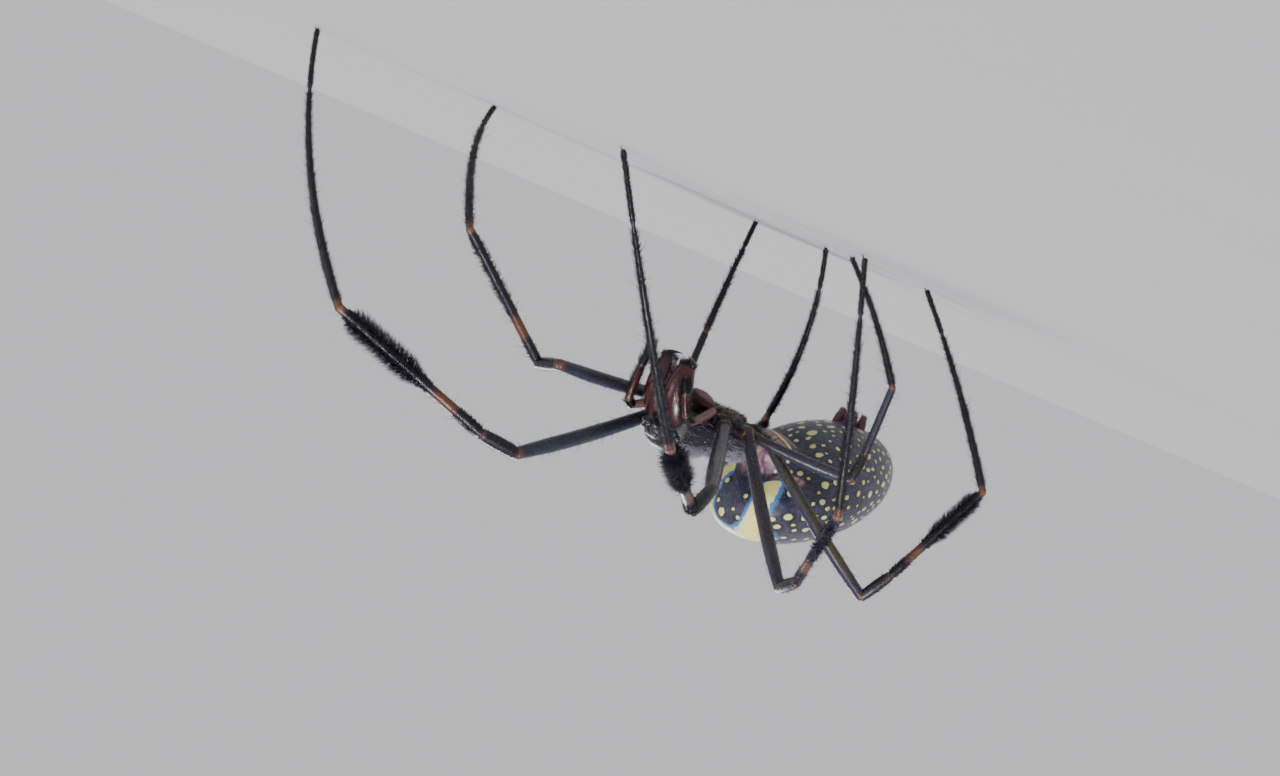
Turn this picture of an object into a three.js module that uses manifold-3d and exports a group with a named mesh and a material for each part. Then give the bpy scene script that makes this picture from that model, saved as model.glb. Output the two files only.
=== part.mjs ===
// Golden silk orb weaver, an adult female, standing on its eight feet.
// Millimetres, +Z up. The head faces -Y, so the spider's right side is -X.
import * as THREE from 'three';
import Module from 'manifold-3d';
import { mergeVertices } from 'three/addons/utils/BufferGeometryUtils.js';

// Driving dimensions of the body
const CARAPACE_LENGTH = 10.5;
const HIP_HEIGHT = 16.6;
const MIDDLE_AHEAD = 10.15;
const MIDDLE_RIGHT = -0.85;
const THORAX_HALF_WIDTH = 3.7;
const HEAD_HALF_WIDTH = 2.65;
const HEAD_HEIGHT = 3.3;
const THORAX_HEIGHT = 2.4;
const SHELL_MARGIN = 0.95;
const SHELL_REAR = -3.75;
const ABDOMEN_FRONT = -4.9;
const ABDOMEN_LENGTH = 18.6;
const ABDOMEN_HALF_WIDTH = 5.8;
const ABDOMEN_HALF_HEIGHT = 5.5;
const ABDOMEN_FRONT_RISE = 4.9;
const ABDOMEN_TAIL_RISE = 0;
const ABDOMEN_FRONT_SIDE = 0.6;
const ABDOMEN_TAIL_SIDE = -1.6;
const GIRTH_FRONT = 0.31;
const GIRTH_REAR = 0.43;
const FRONT_OVERHANG = 1.3;
const BELLY_SLOPE = 3;
const LOBE_FRONT = -4.4;
const LOBE_LENGTH = 7;
const LOBE_HALF_WIDTH = 3.3;
const LOBE_HALF_HEIGHT = 2.4;
const LOBE_FRONT_RISE = 1.1;
const LOBE_CLIMB = 1.6;
const LOBE_SIDE = 0.2;
const STERNUM_REAR = -2.9;
const STERNUM_FRONT = 2.5;
const STERNUM_HALF_WIDTH = 2.05;
const STERNUM_HALF_HEIGHT = 0.5;
const STERNUM_RISE = -0.35;
const JAW_PLATE = { rear: 2.6, front: 5, side: [1.25, 0.7], rise: -0.75, drop: 0.6, size: [0.66, 0.5] };
const LIP = { rear: 2.55, front: 3.9, rise: -0.6, size: [0.75, 0.42] };
const PEDICEL = { from: [-2.6, 0, 0.6], to: [-5.6, 0.1, 1.1], radius: 0.62 };
const SPINNERET_PLACE = [-17.2, -1.35, -3.3];
const SPINNERET_MOUND_RADIUS = 1.5;
// Each row of spinnerets: ahead of the mound's middle, out from it, radius and length
const SPINNERETS = [[0.75, 0.62, 0.5, 1.0], [0.0, 0.5, 0.34, 0.8], [-0.85, 0.68, 0.46, 1.05]];
const CHELICERA_LENGTH = 5.4;
const CHELICERA_ROOT = 5.55;
const CHELICERA_SLANT = 1.7;
const CHELICERA_TOP = 2.2;
const CHELICERA_SIDE = 1.24;
const CHELICERA_HALF_WIDTH = 1.2;
const CHELICERA_HALF_DEPTH = 1.45;
const CHELICERA_BULGE = 0.55;
const SEAM_SQUEEZE = 0.98;
const FANG = { root: [7.2, 1.75, -3.2], tip: [6.5, 0.45, -3.85], bow: 0.18, radii: [0.38, 0.26] };
const EYE_MOUND = [6.55, 0, 2.75];
const EYE_MOUND_RADIUS = 0.78;
const EYE_RADIUS = 0.26;
const EYES = {
  eye_front_middle: [[7.2, 0.36, 2.5]],
  eye_rear_middle: [[6.95, 0.42, 3.15]],
  eyes_lateral: [[6.28, 1.86, 2.5], [6.02, 2.1, 2.78]],
};
const FOOT_RADIUS = 0.25;
const JOINT_GAP = 0.05;
const BODY_GAP = 0.08;

// Segment lengths as shares of the carapace length, one row for each pair of legs
const PAIRS = [
  { femur: 1.62, patella: 0.33, tibia: 1.47, foot: 2.22, thick: 0.62, brush: 1.35, hip: 0.84 },
  { femur: 1.40, patella: 0.30, tibia: 1.16, foot: 1.90, thick: 0.56, brush: 0.78, hip: 0.80 },
  { femur: 0.80, patella: 0.22, tibia: 0.58, foot: 1.10, thick: 0.48, brush: 0.00, hip: 0.70 },
  { femur: 1.43, patella: 0.28, tibia: 0.99, foot: 1.70, thick: 0.52, brush: 1.00, hip: 0.80 },
];

// Where each leg leaves the body: ahead of the middle, out to the side and above hip level.
// The front legs of the left side are drawn in, those of the right side are held out.
const HIPS = {
  l1: { inner: [1.75, 1.7, 0.3], outer: [2.8, 3.35, 1.1] },
  l2: { inner: [0.65, 1.95, 0.1], outer: [1.2, 4.15, 0.05] },
  l3: { inner: [-0.75, 1.9, 0.1], outer: [-1.0, 4.1, 0.4] },
  l4: { inner: [-1.95, 1.5, 0.1], outer: [-2.85, 3.45, 0.3] },
  r1: { inner: [1.75, 1.75, 0.1], outer: [2.9, 3.6, 0.5] },
  r2: { inner: [0.65, 1.95, 0.1], outer: [0.95, 4.45, 0.2] },
  r3: { inner: [-0.75, 1.9, 0.1], outer: [-1.0, 4.1, 0.4] },
  r4: { inner: [-1.95, 1.5, 0.1], outer: [-2.85, 3.45, 0.3] },
};

// Pose in degrees: heading is turned outward from straight ahead, rise is up from level.
// bow is the sag of the long last stretch, as a share of its length.
const POSE = {
  l1: { femur: [-4, 26], patella: [19, -7], tibia: [30, -19], foot: 76, bow: 0.07 },
  l2: { femur: [-1, 3], patella: [104, 12], tibia: [40, -40], foot: 126, bow: 0.07 },
  l3: { femur: [128, 6], patella: [133, -42], tibia: [137, -62], foot: 142, bow: 0.03 },
  l4: { femur: [157, 32], patella: [147, -5], tibia: [-40, -61], foot: -35, bow: 0.05 },
  r1: { femur: [45, 14], patella: [28, 33], tibia: [29, -17], foot: -11, bow: 0.09 },
  r2: { femur: [83, 43], patella: [61, -22], tibia: [45, -33], foot: -35, bow: 0.03 },
  r3: { femur: [141, 1], patella: [153, -84], tibia: [37, -84], foot: -48, bow: 0.03 },
  r4: { femur: [132, 36], patella: [119, -59], tibia: [139, -65], foot: -65, bow: 0.02 },
};

const wasm = await Module();
wasm.setup();

const spider = new THREE.Group();
spider.name = 'spider';

// A place on the spider, measured ahead, to its right, and above hip level.
// The origin is on the ground below the middle of the whole spider, legs and all.
function spot(ahead, right, rise) {
  return new THREE.Vector3(MIDDLE_RIGHT - right, MIDDLE_AHEAD - ahead, HIP_HEIGHT + rise);
}

function direction(heading, rise, side) {
  const level = Math.cos(THREE.MathUtils.degToRad(rise));
  const turn = THREE.MathUtils.degToRad(heading);
  const up = Math.sin(THREE.MathUtils.degToRad(rise));
  return new THREE.Vector3(-side * level * Math.sin(turn), -level * Math.cos(turn), up);
}

// Solids
function signedVolume(geometry) {
  const position = geometry.getAttribute('position');
  const index = geometry.getIndex();
  const a = new THREE.Vector3();
  const b = new THREE.Vector3();
  const c = new THREE.Vector3();
  let volume = 0;
  for (let i = 0; i < index.count; i += 3) {
    a.fromBufferAttribute(position, index.getX(i));
    b.fromBufferAttribute(position, index.getX(i + 1));
    c.fromBufferAttribute(position, index.getX(i + 2));
    volume += a.dot(b.cross(c)) / 6;
  }
  return volume;
}

function solidOf(source) {
  const bare = source.clone();
  bare.deleteAttribute('normal');
  bare.deleteAttribute('uv');
  const geometry = mergeVertices(bare, 1e-5);
  const inward = signedVolume(geometry) < 0;
  const from = geometry.getIndex().array;
  const corners = [];
  for (let i = 0; i < from.length; i += 3) {
    const [a, b, c] = [from[i], from[i + 1], from[i + 2]];
    if (a !== b && b !== c && c !== a) corners.push(a, inward ? c : b, inward ? b : c);
  }
  return new wasm.Manifold(new wasm.Mesh({
    numProp: 3,
    vertProperties: new Float32Array(geometry.getAttribute('position').array),
    triVerts: new Uint32Array(corners),
  }));
}

function addNode(name, solid, material) {
  const mesh = solid.getMesh();
  const geometry = new THREE.BufferGeometry();
  geometry.setAttribute('position', new THREE.BufferAttribute(mesh.vertProperties, 3));
  geometry.setIndex(new THREE.BufferAttribute(mesh.triVerts, 1));
  geometry.computeVertexNormals();
  const node = new THREE.Mesh(geometry, material);
  node.name = name;
  spider.add(node);
}

// A round blank whose rings are put in place one vertex at a time.
// place(along, turn, reach) gets 0 to 1 along it, the angle round it, and 0 at its axis or 1 at its rim.
function shaped(rings, sides, flatEnds, place) {
  const profile = [];
  if (flatEnds) profile.push(new THREE.Vector2(0, 0));
  for (let i = 0; i <= rings; i += 1) {
    const atPole = !flatEnds && i % rings === 0;
    profile.push(new THREE.Vector2(atPole ? 0 : 1, i / rings));
  }
  if (flatEnds) profile.push(new THREE.Vector2(0, 1));
  const geometry = new THREE.LatheGeometry(profile, sides);
  const position = geometry.getAttribute('position');
  for (let i = 0; i < position.count; i += 1) {
    const reach = Math.hypot(position.getX(i), position.getZ(i));
    const turn = reach > 0.5 ? Math.atan2(position.getX(i), position.getZ(i)) : 0;
    const point = place(position.getY(i), turn, reach > 0.5 ? 1 : 0);
    position.setXYZ(i, point.x, point.y, point.z);
  }
  return solidOf(geometry);
}

// A limb along a bowed line. It runs on past both ends, to be mitred there.
function limb(from, to, bowTowards, bow, radiusAt, sides, rings, spare) {
  const chord = to.clone().sub(from);
  const length = chord.length();
  const along = chord.clone().normalize();
  const outward = bowTowards.clone().addScaledVector(along, -bowTowards.dot(along));
  outward.normalize();
  const middle = from.clone().lerp(to, 0.5).addScaledVector(outward, 2 * bow * length);
  const curve = new THREE.QuadraticBezierCurve3(from, middle, to);
  const across = new THREE.Vector3().crossVectors(along, outward).normalize();
  return shaped(rings, sides, true, (s, turn, reach) => {
    const t = s * (1 + 2 * spare / length) - spare / length;
    const held = THREE.MathUtils.clamp(t, 0, 1);
    const centre = curve.getPoint(held);
    const tangent = curve.getTangent(held);
    centre.addScaledVector(tangent, (t - held) * length);
    const normal = new THREE.Vector3().crossVectors(across, tangent).normalize();
    const radius = radiusAt(held) * reach;
    return centre
      .addScaledVector(across, radius * Math.cos(turn))
      .addScaledVector(normal, radius * Math.sin(turn));
  });
}

// A block whose face is at the given point, on the side that the normal points to
function block(point, normal, size) {
  const geometry = new THREE.BoxGeometry(size, size, size);
  geometry.translate(0, 0, size / 2);
  const turn = new THREE.Quaternion().setFromUnitVectors(new THREE.Vector3(0, 0, 1), normal);
  geometry.applyQuaternion(turn);
  geometry.translate(point.x, point.y, point.z);
  return solidOf(geometry);
}

function mitre(solid, joint, into, outOf, keepBefore, size) {
  const normal = into.clone().add(outOf).normalize();
  if (!keepBefore) normal.negate();
  const face = joint.clone().addScaledVector(normal, -JOINT_GAP / 2);
  return solid.subtract(block(face, normal, size));
}

function ball(centre, radius) {
  const geometry = new THREE.SphereGeometry(radius, 8, 5);
  geometry.translate(centre.x, centre.y, centre.z);
  return solidOf(geometry);
}

function smooth(from, to, value) {
  return THREE.MathUtils.smoothstep(value, from, to);
}

function rounded(value, power) {
  return Math.sign(value) * Math.abs(value) ** power;
}

// Materials
function finish(color, roughness = 0.45, metalness = 0) {
  return new THREE.MeshStandardMaterial({ color, roughness, metalness });
}
const SHELL = finish(0x2b2338, 0.35);
const BLACK_HAIRED = finish(0x16141c, 0.6);
const RED_SHELL = finish(0x3a0f12, 0.25);
const FANG_BLACK = finish(0x1a0a0c, 0.2);
const TAN = finish(0x9a7460, 0.4);
const EYE = finish(0x09090c, 0.08);
const AMBER = finish(0x6a4a22, 0.3);
const VIOLET_LEG = finish(0x2c2940, 0.35);
const LEG_BLACK = finish(0x120f1a, 0.4);
const SLATE = finish(0x2d3550, 0.55);
const SPINNERET = finish(0x4a2430, 0.45);

// Carapace: a raised head in front and a broad thorax behind it
function carapace(extra) {
  const front = SHELL_REAR + CARAPACE_LENGTH;
  const shell = shaped(16, 18, false, (s, turn, reach) => {
    const eased = 0.5 - 0.5 * Math.cos(Math.PI * s);
    const ahead = THREE.MathUtils.lerp(SHELL_REAR - extra, front + extra, eased);
    const rearRound = Math.sqrt(Math.max(0, 1 - ((ahead + 0.6) / (SHELL_REAR - extra + 0.6)) ** 2));
    const waist = 1 - smooth(0.2, 3.1, ahead);
    const full = HEAD_HALF_WIDTH + (THORAX_HALF_WIDTH - HEAD_HALF_WIDTH) * waist;
    const nose = Math.max(0, 1 - Math.max(0, (ahead - 4.3) / (front + extra - 4.3)) ** 4) ** 0.5;
    const wide = full * (ahead < -0.6 ? rearRound : 1) * nose + extra * reach;
    const rearSlope = 0.25 + 0.75 * smooth(SHELL_REAR, -1.4, ahead);
    const hump = THORAX_HEIGHT * rearSlope + (HEAD_HEIGHT - THORAX_HEIGHT) * smooth(0.4, 3.6, ahead);
    const tall = hump * (ahead < -0.6 ? rearRound : 1) * nose ** 0.7 + extra * reach;
    const side = wide * rounded(Math.cos(turn), 0.75);
    const under = 0.5 * (wide - extra * reach) / full + extra;
    const up = Math.sin(turn) > 0 ? tall * rounded(Math.sin(turn), 0.9) : under * Math.sin(turn);
    return spot(ahead, reach * side, SHELL_MARGIN + reach * up);
  });
  return shell.add(ball(spot(...EYE_MOUND), EYE_MOUND_RADIUS + extra));
}

// Abdomen: a long blunt barrel, high in front, with a low lobe that reaches down to the waist
function abdomen(extra) {
  const peak = GIRTH_FRONT / (GIRTH_FRONT + GIRTH_REAR);
  const fullest = peak ** GIRTH_FRONT * (1 - peak) ** GIRTH_REAR;
  const barrel = shaped(18, 22, false, (s, turn, reach) => {
    const eased = 0.5 - 0.5 * Math.cos(Math.PI * s);
    const girth = (eased ** GIRTH_FRONT * (1 - eased) ** GIRTH_REAR) / fullest;
    const across = (ABDOMEN_HALF_WIDTH * girth + extra) * reach * Math.cos(turn);
    const lift = (ABDOMEN_HALF_HEIGHT * girth + extra) * reach * Math.sin(turn);
    const overhang = lift > 0 ? FRONT_OVERHANG : BELLY_SLOPE;
    const lean = overhang * (lift / ABDOMEN_HALF_HEIGHT) * (1 - eased) ** 3;
    const ahead = ABDOMEN_FRONT - ABDOMEN_LENGTH * eased + lean - extra * (2 * eased - 1);
    const middle = THREE.MathUtils.lerp(ABDOMEN_FRONT_SIDE, ABDOMEN_TAIL_SIDE, eased);
    const rise = THREE.MathUtils.lerp(ABDOMEN_FRONT_RISE, ABDOMEN_TAIL_RISE, eased);
    return spot(ahead, middle + across, rise + lift);
  });
  const lobe = shaped(7, 12, false, (s, turn, reach) => {
    const girth = Math.sin(Math.PI * s) ** 0.6;
    const across = (LOBE_HALF_WIDTH * girth + extra) * reach * Math.cos(turn);
    const lift = (LOBE_HALF_HEIGHT * girth + extra) * reach * Math.sin(turn);
    const ahead = LOBE_FRONT - LOBE_LENGTH * s - extra * (2 * s - 1);
    return spot(ahead, LOBE_SIDE + across, LOBE_FRONT_RISE + LOBE_CLIMB * s + lift);
  });
  return barrel.add(lobe);
}

// Sternum: a heart-shaped plate between the hips
function sternum(extra) {
  return shaped(8, 14, false, (s, turn, reach) => {
    const eased = 0.5 - 0.5 * Math.cos(Math.PI * s);
    const ahead = THREE.MathUtils.lerp(STERNUM_REAR - extra, STERNUM_FRONT + extra, eased);
    const wide = STERNUM_HALF_WIDTH * Math.sin(Math.PI * eased ** 1.25) ** 0.7 + extra;
    const deep = STERNUM_HALF_HEIGHT * Math.sin(Math.PI * eased) ** 0.5 + extra;
    return spot(ahead, reach * wide * Math.cos(turn), STERNUM_RISE + reach * deep * Math.sin(turn));
  });
}

// Mouthparts: the two jaw plates and the lip between them
function mouthparts(extra) {
  const plate = (side) => shaped(6, 10, false, (s, turn, reach) => {
    const girth = Math.sin(Math.PI * (0.06 + 0.88 * s)) ** 0.7 * reach;
    const ahead = THREE.MathUtils.lerp(JAW_PLATE.rear - extra, JAW_PLATE.front + extra, s);
    const lean = side * THREE.MathUtils.lerp(...JAW_PLATE.side, s);
    const across = (JAW_PLATE.size[0] * girth + extra * reach) * Math.cos(turn);
    const lift = (JAW_PLATE.size[1] * girth + extra * reach) * Math.sin(turn);
    return spot(ahead, lean + across, JAW_PLATE.rise - JAW_PLATE.drop * s + lift);
  });
  const lip = shaped(5, 10, false, (s, turn, reach) => {
    const girth = Math.sin(Math.PI * (0.08 + 0.84 * s)) ** 0.6 * reach;
    const across = (LIP.size[0] * girth + extra * reach) * Math.cos(turn);
    const lift = (LIP.size[1] * girth + extra * reach) * Math.sin(turn);
    return spot(THREE.MathUtils.lerp(LIP.rear - extra, LIP.front + extra, s), across, LIP.rise + lift);
  });
  return plate(1).add(plate(-1)).add(lip);
}

// Chelicera: a stout jaw that hangs from the face and bulges forward
function chelicera(side, extra) {
  return shaped(8, 12, false, (s, turn, reach) => {
    const eased = 0.5 - 0.5 * Math.cos(Math.PI * s);
    const girth = Math.sin(Math.PI * (0.12 + 0.8 * eased)) ** 0.42 * (s > 0 && s < 1 ? 1 : 0);
    const rise = CHELICERA_TOP - CHELICERA_LENGTH * eased + extra * (1 - 2 * eased);
    const bulge = CHELICERA_BULGE * Math.sin(Math.PI * eased ** 0.8);
    const halfWidth = CHELICERA_HALF_WIDTH * (1 - 0.12 * eased);
    const halfDepth = CHELICERA_HALF_DEPTH - 0.45 * eased;
    const across = (halfWidth * girth + extra * reach) * Math.cos(turn);
    const deep = (halfDepth * girth + extra * reach) * Math.sin(turn);
    const ahead = CHELICERA_ROOT + CHELICERA_SLANT * eased + bulge + deep;
    return spot(ahead, side * (CHELICERA_SIDE + across * SEAM_SQUEEZE), rise);
  });
}

// A tapered claw-shaped hook along a bowed line
function hook(from, to, towards, bow, radius, tip) {
  return limb(from, to, towards, bow, (t) => THREE.MathUtils.lerp(radius, tip, t), 8, 5, 0);
}

// Head and body
const bodyBlank = carapace(BODY_GAP);
const sternumBlank = sternum(BODY_GAP);
const abdomenBlank = abdomen(BODY_GAP);
addNode('carapace', carapace(0), SHELL);
addNode('sternum', sternum(0).subtract(bodyBlank), BLACK_HAIRED);
addNode('abdomen', abdomen(0).subtract(bodyBlank), SLATE);
const jawCut = mouthparts(BODY_GAP);
addNode('mouthparts', mouthparts(0).subtract(bodyBlank).subtract(sternumBlank), TAN);
const UP = new THREE.Vector3(0, 0, 1);
const stalk = limb(spot(...PEDICEL.from), spot(...PEDICEL.to), UP, 0, () => PEDICEL.radius, 10, 3, 0);
addNode('pedicel', stalk.subtract(bodyBlank).subtract(sternumBlank).subtract(abdomenBlank), SHELL);

const SIDES = [['l', -1], ['r', 1]];
const middlePlane = { l: new THREE.Vector3(-1, 0, 0), r: new THREE.Vector3(1, 0, 0) };
for (const [letter, side] of SIDES) {
  const toMiddle = middlePlane[letter];
  const face = spot(5, side * JOINT_GAP / 2, 0);
  const half = chelicera(side, 0).subtract(block(face, toMiddle, 20));
  addNode(`chelicera_${letter}`, half.subtract(bodyBlank).subtract(jawCut), RED_SHELL);
  const [root, tip] = [FANG.root, FANG.tip].map(([ahead, right, rise]) => spot(ahead, side * right, rise));
  const fang = hook(root, tip, UP.clone().negate(), FANG.bow, ...FANG.radii);
  addNode(`fang_${letter}`, fang.subtract(chelicera(side, BODY_GAP)), FANG_BLACK);
}

// Eyes: four in the middle of the face, and a pair on a knob at each corner
for (const [letter, side] of SIDES) {
  for (const [name, places] of Object.entries(EYES)) {
    const centres = places.map(([ahead, right, rise]) => spot(ahead, side * right, rise));
    const [first, ...rest] = centres.map((centre) => ball(centre, EYE_RADIUS));
    const domes = rest.reduce((sum, dome) => sum.add(dome), first);
    addNode(`${name}_${letter}`, domes.subtract(bodyBlank), EYE);
  }
}

// Spinnerets: three pairs of short cones on a low mound
function spinnerets() {
  const [rootAhead, rootSide, belly] = SPINNERET_PLACE;
  const forward = new THREE.Vector3(0, -1, 0);
  const mound = (t) => SPINNERET_MOUND_RADIUS - 0.25 * t;
  const buried = spot(rootAhead, rootSide, belly + 1.6);
  let cluster = limb(buried, spot(rootAhead, rootSide, belly - 0.35), forward, 0, mound, 10, 1, 0);
  for (const [ahead, apart, radius, reach] of SPINNERETS) {
    for (const [, side] of SIDES) {
      const base = spot(rootAhead + ahead, rootSide + side * apart, belly);
      const end = spot(rootAhead + ahead * 1.05, rootSide + side * apart * 0.8, belly - 0.2 - reach);
      cluster = cluster.add(limb(base, end, forward, 0, (t) => radius * (1 - 0.5 * t), 7, 1, 0));
    }
  }
  return cluster.subtract(abdomenBlank);
}
addNode('spinnerets', spinnerets(), SPINNERET);

// A chain of limbs with mitred joints, each named and finished on its own
function chain(points, pieces, lastFree) {
  return pieces.map((piece, i) => {
    const from = points[i];
    const to = points[i + 1];
    const along = to.clone().sub(from).normalize();
    const outward = piece.bowTowards ?? UP;
    const reach = piece.spare ?? 1;
    let solid = limb(from, to, outward, piece.bow ?? 0, piece.radiusAt, piece.sides, piece.rings, reach);
    const before = i > 0 ? from.clone().sub(points[i - 1]).normalize() : piece.entry;
    solid = mitre(solid, from, before, along, false, 5);
    if (i + 2 < points.length) {
      const after = points[i + 2].clone().sub(to).normalize();
      solid = mitre(solid, to, along, after, true, 5);
    } else if (!lastFree) {
      solid = mitre(solid, to, along, along, true, 5);
    }
    return solid;
  });
}

// Coxae with their trochanters, cut to fit beside each other and below the shell
function hip(name, pairIndex, side, extra) {
  const { inner, outer } = HIPS[name];
  const from = spot(inner[0], side * inner[1], inner[2]);
  const to = spot(outer[0], side * outer[1], outer[2]);
  const { hip: stout, thick } = PAIRS[pairIndex];
  const radiusAt = (t) => {
    const coxa = stout * (0.72 + 0.28 * Math.sin(Math.PI * Math.min(1, t / 0.75)));
    return THREE.MathUtils.lerp(coxa, thick * 1.12, smooth(0.62, 0.8, t)) + extra;
  };
  return limb(from, to, UP, 0.02, radiusAt, 7, 5, extra > 0 ? 0.5 : 0.9);
}

function femurRadius(thick) {
  return (t) => {
    const swell = 0.2 * Math.sin(Math.PI * Math.min(1, t * 0.75));
    return thick * (0.86 + swell - 0.12 * smooth(0.75, 1, t));
  };
}

function patellaRadius(thick) {
  return (t) => thick * (0.82 + 0.12 * Math.sin(Math.PI * t));
}

function tibiaRadius(thick, brush) {
  return (t) => {
    const bare = thick * (0.8 - 0.06 * t);
    if (brush === 0) return bare;
    const distal = smooth(0.36, 0.52, t) * (1 - smooth(0.86, 0.97, t));
    const tuft = 0.25 * (1 - smooth(0.1, 0.22, t));
    return bare + (brush - bare) * distal + (brush - bare) * tuft;
  };
}

const cutFromHips = bodyBlank.add(sternumBlank).add(jawCut);
for (const [letter, side] of SIDES) {
  let neighbour = null;
  PAIRS.forEach((pair, index) => {
    const name = `${letter}${index + 1}`;
    const pose = POSE[name];
    const length = (part) => CARAPACE_LENGTH * pair[part];
    const { inner, outer } = HIPS[name];
    const points = [spot(outer[0], side * outer[1], outer[2])];
    for (const part of ['femur', 'patella', 'tibia']) {
      const step = direction(pose[part][0], pose[part][1], side).multiplyScalar(length(part));
      points.push(points.at(-1).clone().add(step));
    }
    const ankle = points.at(-1);
    const drop = THREE.MathUtils.radToDeg(Math.asin(ankle.z / length('foot')));
    points.push(ankle.clone().addScaledVector(direction(pose.foot, -drop, side), length('foot')));
    const steps = points.slice(1).map((point, i) => point.clone().sub(points[i]).normalize());

    const hipWay = points[0].clone().sub(spot(inner[0], side * inner[1], inner[2])).normalize();
    let coxa = hip(name, index, side, 0);
    coxa = mitre(coxa, points[0], hipWay, steps[0], true, 4);
    coxa = coxa.subtract(block(spot(inner[0], side * inner[1], inner[2]), hipWay.clone().negate(), 4));
    const blocked = neighbour ? cutFromHips.add(neighbour) : cutFromHips;
    coxa = coxa.subtract(blocked);
    neighbour = hip(name, index, side, BODY_GAP);

    const { thick, brush } = pair;
    const pieces = [
      { radiusAt: femurRadius(thick), sides: 8, rings: 5, bow: 0.015, bowTowards: UP, entry: hipWay },
      { radiusAt: patellaRadius(thick), sides: 8, rings: 2, bowTowards: UP },
      { radiusAt: tibiaRadius(thick, brush), sides: 8, rings: brush ? 8 : 2, spare: 0.9 },
      {
        radiusAt: (t) => THREE.MathUtils.lerp(thick * 0.6, FOOT_RADIUS, smooth(0, 0.9, t)),
        sides: 7,
        rings: 8,
        bow: pose.bow,
        bowTowards: steps[2],
        spare: 0.8,
      },
    ];
    const [femur, patella, tibia, last] = chain(points, pieces, true);
    const ground = points[4].clone().setZ(0);
    const foot = last.subtract(block(ground, UP.clone().negate(), 6));
    addNode(`coxa_${name}`, coxa, AMBER);
    addNode(`femur_${name}`, femur.subtract(blocked), VIOLET_LEG);
    addNode(`patella_${name}`, patella, LEG_BLACK);
    addNode(`tibia_${name}`, tibia, LEG_BLACK);
    addNode(`metatarsus_${name}`, foot, LEG_BLACK);
  });
}

// Palps: short feelers beside the jaws, bent down at the knee
const PALPS = {
  l: [[3.6, 2.2, -0.35], [6.7, 3.0, 1.7], [7.8, 2.85, 1.5], [8.3, 2.6, -3.9]],
  r: [[3.6, 2.3, -0.35], [6.0, 3.3, 0.9], [7.3, 3.2, 0.7], [8.8, 2.9, -2.2]],
};
for (const [letter, side] of SIDES) {
  const points = PALPS[letter].map(([ahead, right, rise]) => spot(ahead, side * right, rise));
  const line = new THREE.CatmullRomCurve3(points, false, 'centripetal');
  const across = new THREE.Vector3().crossVectors(line.getTangent(0), line.getTangent(1)).normalize();
  const palp = shaped(13, 8, true, (s, turn, reach) => {
    const tangent = line.getTangentAt(s);
    const normal = new THREE.Vector3().crossVectors(across, tangent).normalize();
    const radius = reach * (0.43 - 0.15 * smooth(0.8, 1, s) - 0.05 * Math.sin(3 * Math.PI * s) ** 2);
    return line.getPointAt(s)
      .addScaledVector(across, radius * Math.cos(turn))
      .addScaledVector(normal, radius * Math.sin(turn));
  });
  const blocked = cutFromHips.add(chelicera(side, BODY_GAP)).add(hip(`${letter}1`, 0, side, BODY_GAP));
  addNode(`palp_${letter}`, palp.subtract(blocked), TAN);
}

export default spider;
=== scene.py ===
# %% [markdown]
# # A golden silk orb weaver, life size
# A grown female spider, standing on its eight feet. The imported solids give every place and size.
# Here each hard plate gets its real surface, the soft abdomen gets one skin with its markings, and
# the hairs are added as thin solid cones that follow the lie of the coat.

# %% The frame
import math
from math import pi

import bpy
import numpy as np
from numpy import cos, sin
from mathutils import Matrix, Vector


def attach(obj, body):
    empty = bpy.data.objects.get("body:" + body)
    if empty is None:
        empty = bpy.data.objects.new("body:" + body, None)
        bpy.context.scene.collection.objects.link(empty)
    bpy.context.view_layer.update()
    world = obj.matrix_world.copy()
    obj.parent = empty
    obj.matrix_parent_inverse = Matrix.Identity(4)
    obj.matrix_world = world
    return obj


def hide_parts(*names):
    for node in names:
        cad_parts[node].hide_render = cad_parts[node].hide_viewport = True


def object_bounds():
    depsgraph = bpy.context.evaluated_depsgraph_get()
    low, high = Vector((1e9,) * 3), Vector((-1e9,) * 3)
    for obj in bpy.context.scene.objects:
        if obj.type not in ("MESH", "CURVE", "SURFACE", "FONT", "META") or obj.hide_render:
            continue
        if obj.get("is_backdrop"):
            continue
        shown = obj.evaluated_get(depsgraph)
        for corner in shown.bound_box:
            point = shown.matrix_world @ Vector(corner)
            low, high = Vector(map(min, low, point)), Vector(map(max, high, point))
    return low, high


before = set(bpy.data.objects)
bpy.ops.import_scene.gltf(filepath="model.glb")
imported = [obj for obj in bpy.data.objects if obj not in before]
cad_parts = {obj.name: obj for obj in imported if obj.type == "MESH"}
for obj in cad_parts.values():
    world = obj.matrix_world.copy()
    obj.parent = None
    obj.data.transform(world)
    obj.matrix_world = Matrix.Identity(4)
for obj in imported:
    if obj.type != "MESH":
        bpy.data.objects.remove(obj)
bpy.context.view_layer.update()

rng = np.random.default_rng(71)

# %% [markdown]
# ## Places on the spider
# A maker measures an animal from its own body, so places are given in millimetres ahead of the
# middle of the hips, to the spider's right, and above hip level, as in the solids. The mesh of each
# finished piece is brought to metres as its last step.

# %% Places
MM = 0.001
HIP_HEIGHT = 16.6
MIDDLE_AHEAD = 10.15
MIDDLE_RIGHT = -0.85
UP = np.array([0.0, 0.0, 1.0])


def spot(ahead, right, rise):
    """A place on the animal, as a point of the frame in millimetres."""
    parts = np.broadcast_arrays(MIDDLE_RIGHT - np.asarray(right, float),
                                MIDDLE_AHEAD - np.asarray(ahead, float),
                                HIP_HEIGHT + np.asarray(rise, float))
    return np.stack(parts, -1)


def way_to(ahead, right, rise):
    return spot(ahead, right, rise) - spot(0, 0, 0)


def unit(v):
    return v / np.maximum(np.linalg.norm(v, axis=-1, keepdims=True), 1e-9)


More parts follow.
